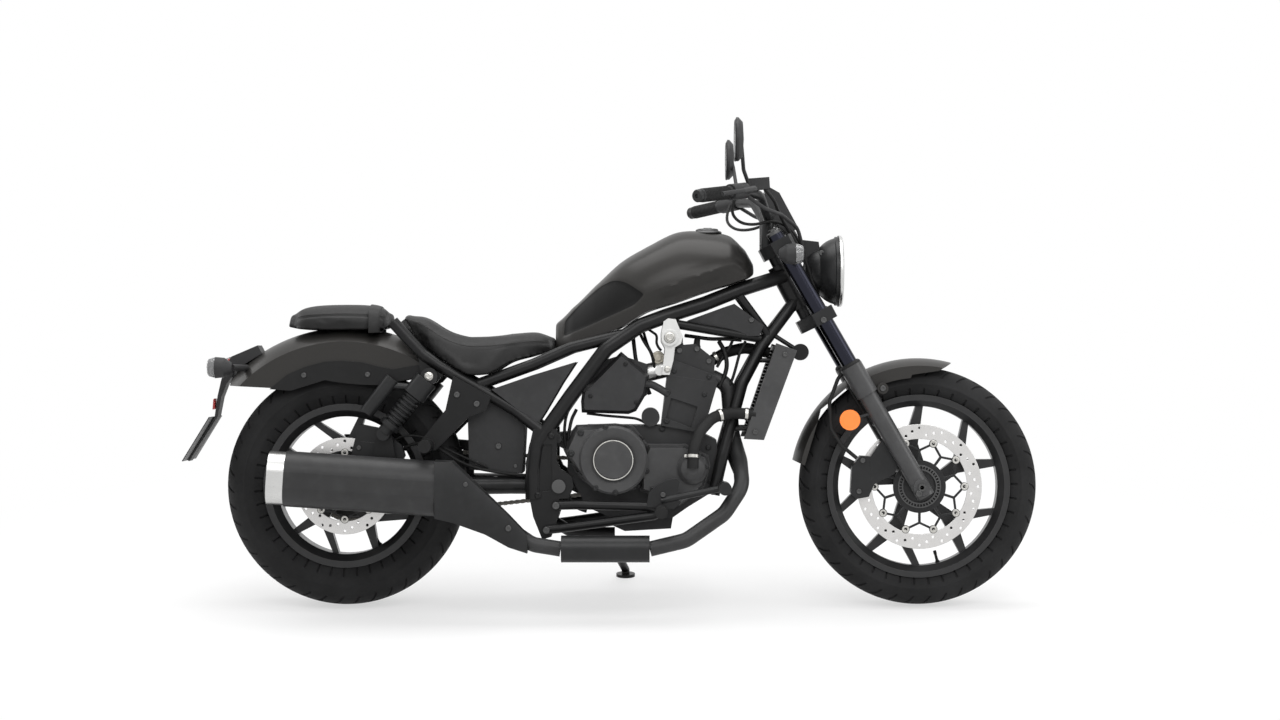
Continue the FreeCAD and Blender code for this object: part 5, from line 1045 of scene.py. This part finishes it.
def makeStrap():
    outer = padShell(passengerSeat, passengerSeat["strapLift"], *passengerSeat["strap"], count=4)
    strap = skin(outer, ends=False)
    modify(strap, "SOLIDIFY", thickness=0.003, offset=-1)
    modify(strap, "BEVEL", width=0.0008, segments=2, limit_method="ANGLE")
    settle(strap, "passengerStrap", "chassis", "seatVinyl", "leather", smooth=50)


makeStrap()
print("seats are padded and sewn")

# Fasteners, by the piece that they go into: along, height, side and head radius.
fasteners = {
    "engineBolts": {"kind": "flanged", "finish": "satinBlack", "slot": "satin_black", "body": "chassis"},
    "coverScrews": {"kind": "socket", "finish": "darkSteel", "slot": "steel", "body": "chassis"},
    "frameBolts": {"kind": "flanged", "finish": "zinc", "slot": "steel", "body": "chassis"},
    "plainBolts": {"kind": "flanged", "finish": "frameBlack", "slot": "frame_black", "body": "chassis"},
    "forkBolts": {"kind": "socket", "finish": "darkSteel", "slot": "steel", "body": "steering"},
}
fastened = {
    "engineBolts": {
        "right_engine_cover": [(625, 460, -1, 9), (600, 406, -1, 9), (622, 352, -1, 8), (664, 316, -1, 8),
                               (745, 474, -1, 8), (782, 446, -1, 8), (797, 360, -1, 8), (776, 320, -1, 8),
                               (716, 304, -1, 8), (690, 474, -1, 8), (812, 312, -1, 7), (880, 278, -1, 7),
                               (938, 318, -1, 7), (954, 372, -1, 7), (946, 398, -1, 7), (900, 420, -1, 7)],
        "left_engine_cover": [(604, 312, 1, 8), (650, 282, 1, 8), (735, 280, 1, 8), (790, 296, 1, 8),
                              (790, 446, 1, 8), (720, 438, 1, 8), (640, 418, 1, 8), (600, 372, 1, 8)],
        "cylinder_block": [(850, 490, -1, 8), (854, 566, -1, 7), (950, 560, -1, 7), (938, 476, -1, 7),
                           (852, 490, 1, 8), (938, 476, 1, 7)],
        "cylinder_head": [(870, 622, -1, 7), (962, 606, -1, 7), (870, 622, 1, 7), (962, 606, 1, 7)],
        "crankcase": [(838, 470, -1, 9), (648, 470, -1, 8), (576, 440, -1, 8), (960, 420, -1, 8),
                      (966, 330, -1, 8), (840, 470, 1, 9), (648, 466, 1, 8), (960, 420, 1, 8)],
    },
    "coverScrews": {
        "cylinder_head": [(884, 676, -1, 7), (930, 680, -1, 7), (962, 648, -1, 7), (884, 676, 1, 7),
                          (930, 680, 1, 7)],
        "radiator_covers": [(1160, 666, -1, 7), (1082, 462, -1, 7), (1160, 666, 1, 7), (1082, 462, 1, 7)],
        "electrics_box": [(407, 424, -1, 8), (350, 380, -1, 5), (452, 372, -1, 5)],
        "side_covers": [(1075, 757, -1, 7), (1075, 757, 1, 7), (540, 600, 1, 5)],
        "footpeg_brackets": [(560, 270, -1, 10), (535, 206, -1, 9), (560, 270, 1, 10), (535, 206, 1, 9)],
        "fender_stays": [(-105, 611, -1, 7), (63, 613, -1, 7), (-105, 611, 1, 7), (63, 613, 1, 7)],
        "exhaust_shield": [(440, 216, -1, 8), (330, 330, -1, 6)],
        "rear_brake_caliper": [(120, 396, -1, 7), (40, 420, -1, 6)],
        "passenger_pegs": [(300, 560, -1, 8), (352, 536, -1, 8), (300, 560, 1, 8), (352, 536, 1, 8)],
        "foot_levers": [(840, 300, -1, 7)],
    },
    "frameBolts": {
        "engine_hangers": [(858, 710, -1, 15), (858, 710, 1, 15), (852, 626, -1, 9), (852, 626, 1, 9)],
        "rear_axle_and_pivot_bolt": [(0, 318, 1, 19)],
        "rear_shocks": [(228, 608, -1, 12), (228, 608, 1, 12), (108, 457, 1, 11)],
    },
    "plainBolts": {
        "frame": [(512, 296, -1, 10), (548, 452, -1, 9), (512, 296, 1, 10), (548, 452, 1, 9)],
        "swing_arm": [(-14, 318, -1, 8), (-14, 318, 1, 8)],
        "air_cleaner_covers": [(650, 556, -1, 6), (742, 640, -1, 6), (770, 540, -1, 6)],
    },
    "forkBolts": {
        "fork_yokes": [(1262, 756, -1, 8), (1150, 930, -1, 8), (1262, 756, 1, 8), (1150, 930, 1, 8)],
        "front_fender": [(1420, 576, -1, 8), (1420, 576, 1, 8)],
        "headlight": [(1262, 935, -1, 7), (1262, 935, 1, 7)],
        "front_brake_caliper": [(1368, 386, -1, 7), (1358, 304, -1, 7)],
        "fork_sliders": [(1512, 300, -1, 9), (1512, 300, 1, 9)],
    },
}
# The height and radius of each ring of a head, in shares of its own radius, and how deep it is sunk.
boltShapes = {"socket": [(0.5, 1), (0.66, 0.88), (0.66, 0.5)], "recess": 0.4, "sunk": 3,
              "washer": [(0.16, 1), (0.3, 0.9), (0.34, 0.74)],
              "hexagon": [(0, 0.74), (0.66, 0.74), (0.76, 0.64), (0.76, 0.4), (0.68, 0.34)]}


def bolt(kind, radius):
    rings = {part: [(radius * height, radius * wide) for height, wide in boltShapes[part]]
             for part in ("socket", "washer", "hexagon")}
    foot = [(-boltShapes["sunk"], radius)]
    if kind == "socket":
        head = turned(foot + rings["socket"], 20)
        shape(head, lambda face: face.normal.z > 0.9 and face.center.z > 0 and len(face.vertices) == 20)
        sink = at(0, 0, -radius * boltShapes["recess"])
        bpy.ops.mesh.extrude_region_move(TRANSFORM_OT_translate={"value": sink})
        bpy.ops.object.mode_set(mode="OBJECT")
        return head
    return joined([turned(foot + rings["washer"], 24), turned(rings["hexagon"], 6)])


for name, group in fasteners.items():
    heads = {}
    for node, spots in fastened[name].items():
        for x, z, side, radius in spots:
            y = surfaceAt(node, x, z, side)
            if y is not None:
                spin = math.radians((x * 7 + z * 3) % 60)
                heads.setdefault(radius, []).append(turnedTo((x, y, z), (0, side, 0), spin))
    made = [spread(bolt(group["kind"], radius), spots) for radius, spots in heads.items()]
    settle(joined(made), name, group["body"], group["finish"], group["slot"], smooth=30)
print("bolts are in")


def alongX(piece, x, y, z, face=1):
    # a lathed piece turned to lie along the motorcycle
    piece.data.transform(turnedTo((x, y, z), (face, 0, 0)))
    return piece


# Headlamp: the dome gives how far each ring lies inside the glass, and how far forward.
headlamp = {
    "x": 1212, "z": 888, "glass": 83.6, "dome": [(0, 98.6), (1, 102), (8, 105.6), (26, 109.6), (52, 111.7)],
    "domeFront": 112.3, "wall": 2.4,
    "ring": [(0.6, 97), (11, 97), (12, 99), (11.5, 104), (7, 107.5), (1.4, 107), (0.6, 104)],
    "bowl": [(98, 29), (104.5, 29), (104.5, 27), (99.5, 16), (99.2, 6), (101, 5), (102, 2)],
    "offset": 33, "crossLength": 150, "crossWidth": 5, "crossAhead": 101.5,
}


def makeHeadlamp():
    x, z, wide, wall = headlamp["x"], headlamp["z"], headlamp["glass"], headlamp["wall"]
    outer = [(wide - inset, ahead) for inset, ahead in headlamp["dome"]] + [(0, headlamp["domeFront"])]
    inner = [(radius - wall if radius else 0, ahead - wall) for radius, ahead in reversed(outer)]
    inner[-1] = (wide - wall, outer[0][1])
    glass = hoop(outer + inner, 72)
    close(glass, 0.000001)
    turn = Matrix.Translation(at(x, 0, z)) @ Matrix.Rotation(math.radians(-90), 4, "Z")
    glass.data.transform(turn)
    settle(glass, "headlampGlass", "steering", "clearLens", "glass", "headlight_lens")
    ring = hoop([(wide + past, ahead) for past, ahead in headlamp["ring"]], 96)
    ring.data.transform(turn)
    settle(ring, "headlampRing", "steering", "brushedCap", "aluminium")
    off, bowls = headlamp["offset"], []
    for y, up in ((-off, -off), (-off, off), (off, -off), (off, off)):
        bowls.append(alongX(turned(headlamp["bowl"], 40), x, y, z + up))
    settle(joined(bowls), "headlampBowls", "steering", "chromeTrim", "lamp")
    tall, wide, middle = headlamp["crossLength"], headlamp["crossWidth"], (x + headlamp["crossAhead"], 0, z)
    cross = [block((wide, tall, wide), middle, 1), block((wide, wide, tall), middle, 1)]
    settle(joined(cross), "headlampCross", "steering", "satinBlack", "satin_black")


makeHeadlamp()

signals = {
    "front": {"middle": (1143, 168, 928), "face": 1, "body": "steering"},
    "rear": {"middle": (-291, 132, 631), "face": -1, "body": "chassis"},
}
signalCup = [(43.6, 27.2), (46, 27.4), (60.6, 23), (63.6, 19), (65.2, 10), (65.6, 1)]


def makeSignals():
    for end, facts in signals.items():
        x, y, z = facts["middle"]
        lenses = [alongX(turned(signalCup, 36), x, side * y, z, facts["face"]) for side in (-1, 1)]
        settle(joined(lenses), end + "SignalLenses", facts["body"], "clearLens", "amber_lens")


makeSignals()

rearLights = {"tail": ((12, 66, 20), (-312, 0, 645)), "tailEdge": 4, "reflectorHalf": 44,
              "reflector": [(-354, 546), (-351, 549), (-349, 521), (-356, 519)]}


def makeRearLights():
    tail = block(*rearLights["tail"], rearLights["tailEdge"])
    settle(tail, "tailLens", "chassis", "redLens", "lamp")
    half = rearLights["reflectorHalf"]
    settle(plate(rearLights["reflector"], -half, half, 1), "rearReflector", "chassis", "redLens", "lamp")


makeRearLights()

# Mirrors and dial: rings of the glass, the section of its rim, and where a ray starts and looks.
mirrors = {"from": (700, 375, 1208), "aim": (1, 0, 0), "glass": [(-1, 50), (0.8, 50), (1.1, 48)],
           "rim": [(50.2, -1), (53, -1), (53, 1.2), (51.6, 2.2), (50.2, 1.6)]}
dial = {"from": (700, 0, 1500), "aim": (0.62, 0, -0.62), "glass": [(-2, 40), (3, 40), (4, 38.6)],
        "rim": [(40, -2), (45, -2), (45, 3.4), (43, 5), (40, 4.4)]}


def glassOn(node, facts, side):
    x, y, z = facts["from"]
    spot, normal = facing(node, (x, side * y, z), facts["aim"])
    where = turnedTo(spot, normal)
    glass, rim = turned(facts["glass"], 64), hoop(facts["rim"], 72)
    glass.data.transform(where)
    rim.data.transform(where @ ontoSide)
    return glass, rim


def makeMirrors():
    glasses, rims = zip(*(glassOn("mirrors", mirrors, side) for side in (-1, 1)))
    settle(joined(glasses), "mirrorGlasses", "steering", "mirrorFace", "glass")
    settle(joined(rims), "mirrorRims", "steering", "plasticBlack", "plastic")
    glass, rim = glassOn("instrument", dial, 1)
    settle(glass, "dialGlass", "steering", "dialGlass", "glass")
    settle(rim, "dialBezel", "steering", "plasticBlack", "plastic")


makeMirrors()

grips = {"root": (1044, 286, 1086), "end": (931, 418, 1066), "ribs": 19, "firstRib": 10, "ribPitch": 5.4,
         "rib": [(16, -1.9), (17.9, -1.3), (17.9, 1.3), (16, 1.9)],
         "weight": [(-6, 15.4), (-4, 16.4), (10, 16.4), (13, 14.5), (13, 6), (9, 5.6)]}


def makeGrips():
    ribs, weights = [], []
    for side in (-1, 1):
        root, end = (Vector((x, side * y, z)) for x, y, z in (grips["root"], grips["end"]))
        along = (end - root).normalized()
        rib = hoop(grips["rib"], 32)
        rib.data.transform(ontoSide)
        spots = [turnedTo(end - along * (grips["firstRib"] + grips["ribPitch"] * count), along)
                 for count in range(grips["ribs"])]
        ribs.append(spread(rib, spots))
        weight = turned(grips["weight"], 32)
        weight.data.transform(turnedTo(end, along))
        weights.append(weight)
    settle(joined(ribs), "gripRibs", "steering", "softRubber", "rubber")
    settle(joined(weights), "barEndWeights", "steering", "satinBlack", "satin_black")


makeGrips()
print("lamps, mirrors and grips are dressed")

# Fixed lines of the engine and the controls: radius, then the points that each follows.
lines = {
    "engineWires": {"body": "chassis", "finish": "wireRubber", "slot": "rubber", "runs": [
        (5.5, [(760, -40, 728), (764, -58, 690), (770, -62, 640), (792, -58, 600), (806, -52, 560)]),
        (4, [(775, -52, 732), (790, -66, 700), (812, -70, 668), (818, -64, 630), (826, -60, 604)]),
        (3.5, [(800, -48, 734), (826, -62, 716), (822, -72, 690), (836, -76, 676)]),
        (4, [(790, 20, 724), (800, 40, 690), (816, 56, 660), (822, 60, 640)]),
        (6, [(990, -40, 700), (1004, -54, 676), (1012, -58, 640), (1004, -60, 606), (990, -62, 580)]),
        (4, [(1030, -30, 712), (1018, -46, 684), (1000, -52, 660), (984, -54, 632)]),
        (4, [(1060, -44, 700), (1044, -60, 670), (1034, -62, 630), (1022, -60, 590), (1006, -58, 560)]),
        (5, [(900, -30, 716), (930, -44, 712), (968, -46, 706), (1010, -40, 708), (1050, -34, 704)]),
        (3.5, [(640, -92, 510), (690, -98, 504), (740, -98, 500), (780, -92, 496), (800, -84, 480)]),
        (4.5, [(612, -86, 520), (600, -96, 496), (594, -100, 470), (590, -100, 440), (596, -96, 410)]),
        (4, [(600, -80, 540), (584, -104, 500), (580, -108, 460), (584, -106, 420), (600, -100, 380)]),
        (3, [(880, -104, 700), (872, -110, 690), (866, -106, 676), (868, -98, 664)])]},
    "brakeLines": {"body": "chassis", "finish": "softRubber", "slot": "rubber", "runs": [
        (4, [(160, -96, 420), (200, -112, 440), (250, -118, 420), (320, -116, 372), (420, -112, 352),
             (520, -112, 344), (588, -112, 330)]),
        (3, [(110, -92, 416), (150, -106, 452), (210, -114, 452), (280, -116, 410), (380, -114, 368)]),
        (5, [(588, -124, 300), (600, -128, 280), (612, -128, 262), (640, -126, 254)])]},
    "forkLines": {"body": "steering", "finish": "wireRubber", "slot": "rubber", "runs": [
        (3.2, [(1486, -96, 330), (1466, -84, 360), (1430, -80, 420), (1396, -80, 470), (1368, -80, 520),
               (1330, -78, 580), (1318, -76, 630), (1300, -70, 690)]),
        (4, [(1030, -250, 1080), (1012, -232, 1040), (1036, -200, 1008), (1080, -150, 1004),
             (1120, -110, 1018), (1160, -80, 1012), (1196, -60, 980), (1210, -44, 944)]),
        (4, [(1030, 250, 1080), (1012, 232, 1040), (1036, 200, 1008), (1080, 150, 1004),
             (1120, 110, 1018), (1160, 80, 1012), (1196, 60, 980), (1210, 44, 944)]),
        (4.5, [(1104, -214, 1094), (1128, -190, 1072), (1140, -150, 1046), (1160, -100, 1010),
               (1196, -70, 960), (1226, -52, 900), (1240, -44, 850), (1262, -60, 780), (1300, -76, 700),
               (1330, -82, 644)])]},
}
for name, group in lines.items():
    runs = [hose(points, radius) for radius, points in group["runs"]]
    settle(joined(runs), name, group["body"], group["finish"], group["slot"], smooth=60)

# Bands round the coolant hoses: where each sits, and the way that its hose runs.
clampBands = {
    "radius": 16.4, "over": 0.5, "under": 0.8, "half": 4, "lug": (7, 8, 7), "lugOut": 3,
    "spots": [((918, -166, 400), (0.03, 0.1, 1)), ((1060, -130, 509), (1, 0, -0.05)),
              ((990, -136, 506), (1, 0.3, 0.3)), ((984, 0, 658), (1, 0, 0.6)),
              ((1108, 0, 676), (1, 0, -0.2))],
}


def makeClamps():
    bands, radius, half = [], clampBands["radius"], clampBands["half"]
    for middle, direction in clampBands["spots"]:
        strip = hoop(band(radius + clampBands["over"], radius - clampBands["under"], half), 40)
        clamp = joined([strip, block(clampBands["lug"], (radius + clampBands["lugOut"], 0, 0), 1)])
        clamp.data.transform(ontoSide)
        clamp.data.transform(turnedTo(middle, direction))
        bands.append(clamp)
    settle(joined(bands), "hoseClamps", "chassis", "zinc", "steel")


makeClamps()
print("lines and clamps are fitted")

forkTrim = {
    "rake": 30, "axle": (1520, 316), "apart": 105, "capHeight": 984, "sealHeight": 637,
    "cap": [(-4, 21), (5, 21), (7, 19.5)], "nut": [(5, 12.5), (13, 12.5), (14, 11.5)],
    "seal": [(-4, 29), (2, 28.6), (6, 25.6), (7.6, 22.2), (7.6, 21.6)],
    "stay": ((1402, 515), (1333, 493)), "staysApart": 108, "stayRadius": 3.8,
}
valves = {
    "frontValve": {"body": "front_wheel", "axle": (1520, 316), "angle": -75, "reach": 214},
    "rearValve": {"body": "rear_wheel", "axle": (0, 318), "angle": -62, "reach": 184},
}
valveStem = [(0, 7), (5, 6), (8, 4), (24, 3.6), (24, 4.4), (33, 4.4), (34, 3.6)]


def onFork(piece, side, height):
    rake = math.radians(forkTrim["rake"])
    x, z = forkTrim["axle"]
    middle = (x - (height - z) * math.tan(rake), side * forkTrim["apart"], height)
    piece.data.transform(turnedTo(middle, (-math.sin(rake), 0, math.cos(rake))))
    return piece


def makeForkTrim():
    caps, seals, stays = [], [], []
    for side in (-1, 1):
        cap = joined([turned(forkTrim["cap"], 40), turned(forkTrim["nut"], 6)])
        caps.append(onFork(cap, side, forkTrim["capHeight"]))
        seals.append(onFork(turned(forkTrim["seal"], 40), side, forkTrim["sealHeight"]))
        stay = [(x, side * forkTrim["staysApart"], z) for x, z in forkTrim["stay"]]
        stays.append(hose(stay, forkTrim["stayRadius"]))
    settle(joined(caps), "forkCaps", "steering", "darkSteel", "steel")
    settle(joined(seals), "forkSeals", "steering", "softRubber", "rubber")
    settle(joined(stays), "reflectorStays", "steering", "plasticBlack", "plastic")
    for name, facts in valves.items():
        stem = turned(valveStem, 16)
        dx, dz = polar(facts["reach"], facts["angle"])
        x, z = facts["axle"]
        stem.data.transform(turnedTo((x + dx, 0, z + dz), (-dx, 0, -dz)))
        settle(stem, name, facts["body"], "softRubber", "rubber")


makeForkTrim()

engineTrim = {
    "coverRing": {"middle": (710, 389), "surface": (710, 388), "out": 2, "section": (52.5, 50, 1.5)},
    "oilWindow": {"middle": (858, 304), "surface": (858, 300), "out": 0,
                  "section": [(9, -2), (14, -2), (14, 2), (12, 3), (9, 3)]},
    "leadCaps": {"spots": ((884, -40, 690), (930, -40, 684)), "way": (0.1, -0.1, 1),
                 "rings": [(-10, 11), (4, 11), (8, 9), (22, 8), (26, 5)]},
    "connector": {"middle": (828, -62, 658),
                  "rings": [(-30, 17), (-2, 17), (0, 15.5), (0, 10), (4, 9.4), (5, 7)]},
}


def makeEngineTrim():
    ring = hoop(band(*engineTrim["coverRing"]["section"]), 96)
    window = hoop(engineTrim["oilWindow"]["section"], 40)
    for piece, facts in ((ring, engineTrim["coverRing"]), (window, engineTrim["oilWindow"])):
        y = surfaceAt("right_engine_cover", *facts["surface"], -1) + facts["out"]
        piece.data.transform(about(*facts["middle"], y))
    settle(joined([ring, window]), "engineRings", "chassis", "zinc", "steel")
    facts = engineTrim["leadCaps"]
    caps = spread(turned(facts["rings"], 24), [turnedTo(spot, facts["way"]) for spot in facts["spots"]])
    settle(caps, "leadCaps", "chassis", "softRubber", "rubber")
    facts = engineTrim["connector"]
    socket = turned(facts["rings"], 32)
    socket.data.transform(turnedTo(facts["middle"], (0, -1, 0)))
    settle(socket, "creamConnector", "chassis", "creamPlastic", "plastic")


makeEngineTrim()
print("small pieces are on")

panels = {
    "keyPanel": {"spot": (0.6, -3.4, 3.6), "aim": (0, 0, 0.5), "size": (4.2, 2.0), "power": 90},
    "topPanel": {"spot": (0, 0.4, 4.2), "aim": (0, 0, 0.4), "size": (4.6, 2.6), "power": 130},
    "frontPanel": {"spot": (4.2, -1.2, 2.0), "aim": (0, 0, 0.6), "size": (2.0, 2.6), "power": 40},
    "rearPanel": {"spot": (-4.2, 1.6, 2.2), "aim": (0, 0, 0.6), "size": (2.2, 2.6), "power": 40},
}
studio = {"air": 0.55, "floorSize": 24, "shadowNear": 0.9, "shadowFar": 2.1, "shadowShare": 0.42}


def hangPanel(name, facts):
    lamp = bpy.data.objects.new(name, bpy.data.lights.new(name, "AREA"))
    bpy.context.scene.collection.objects.link(lamp)
    lamp.data.shape = "RECTANGLE"
    lamp.data.size, lamp.data.size_y = facts["size"]
    lamp.data.energy = facts["power"]
    lamp.location = facts["spot"]
    lamp.rotation_mode = "QUATERNION"
    lamp.rotation_quaternion = (Vector(facts["aim"]) - Vector(facts["spot"])).to_track_quat("-Z", "Y")


def whiteTo(tree, shown, under):
    # what camera, glossy and transmission rays see, over what lights the motorcycle
    rays = tree.nodes.new("ShaderNodeLightPath")
    seen = rays.outputs["Is Camera Ray"]
    for ray in ("Is Glossy Ray", "Is Transmission Ray"):
        either = tree.nodes.new("ShaderNodeMath")
        either.operation = "MAXIMUM"
        tree.links.new(seen, either.inputs[0])
        tree.links.new(rays.outputs[ray], either.inputs[1])
        seen = either.outputs[0]
    choose = tree.nodes.new("ShaderNodeMixShader")
    for socket, wire in enumerate((seen, under, shown)):
        tree.links.new(wire, choose.inputs[socket])
    return choose.outputs[0]


def lightStudio():
    for name, facts in panels.items():
        hangPanel(name, facts)
    world = bpy.data.worlds.new("studioAir")
    bpy.context.scene.world = world
    world.use_nodes = True
    tree = world.node_tree
    air, white = tree.nodes["Background"], tree.nodes.new("ShaderNodeBackground")
    for node, strength in ((air, studio["air"]), (white, 1.0)):
        node.inputs["Color"].default_value = (1, 1, 1, 1)
        node.inputs["Strength"].default_value = strength
    mixed = whiteTo(tree, white.outputs[0], air.outputs[0])
    tree.links.new(mixed, tree.nodes["World Output"].inputs["Surface"])
    bpy.context.scene.view_settings.view_transform = "Standard"


def layFloor():
    bpy.ops.object.select_all(action="DESELECT")
    bpy.ops.mesh.primitive_plane_add(size=studio["floorSize"])
    floor = bpy.context.object
    floor.name = "studioFloor"
    finish = Finish("floorPaint", (0.9, 0.9, 0.9), Roughness=0.6)
    finish.feed("Base Color", finish.blend(finish.noise(3, 2), (0.89, 0.89, 0.89), (0.91, 0.91, 0.91)))
    # the shadow fades into plain white away from the wheels
    where = finish.node("ShaderNodeTexCoord", output="Object")
    reach = finish.node("ShaderNodeVectorMath", {"operation": "LENGTH"}, {0: where}, output="Value")
    share = (1 - reach.between(studio["shadowNear"], studio["shadowFar"])) * studio["shadowShare"]
    white = finish.node("ShaderNodeEmission", {}, {"Color": (1, 1, 1, 1), "Strength": 1.0})
    shown = finish.node("ShaderNodeMixShader", {},
                        {0: share, 1: white, 2: Wire(finish, finish.shader.outputs[0])})
    mixed = whiteTo(finish.tree, shown.socket, finish.shader.outputs[0])
    finish.tree.links.new(mixed, finish.tree.nodes["Material Output"].inputs["Surface"])
    floor.data.materials.append(finish.material)


lightStudio()
layFloor()
print("lights and floor are in place")
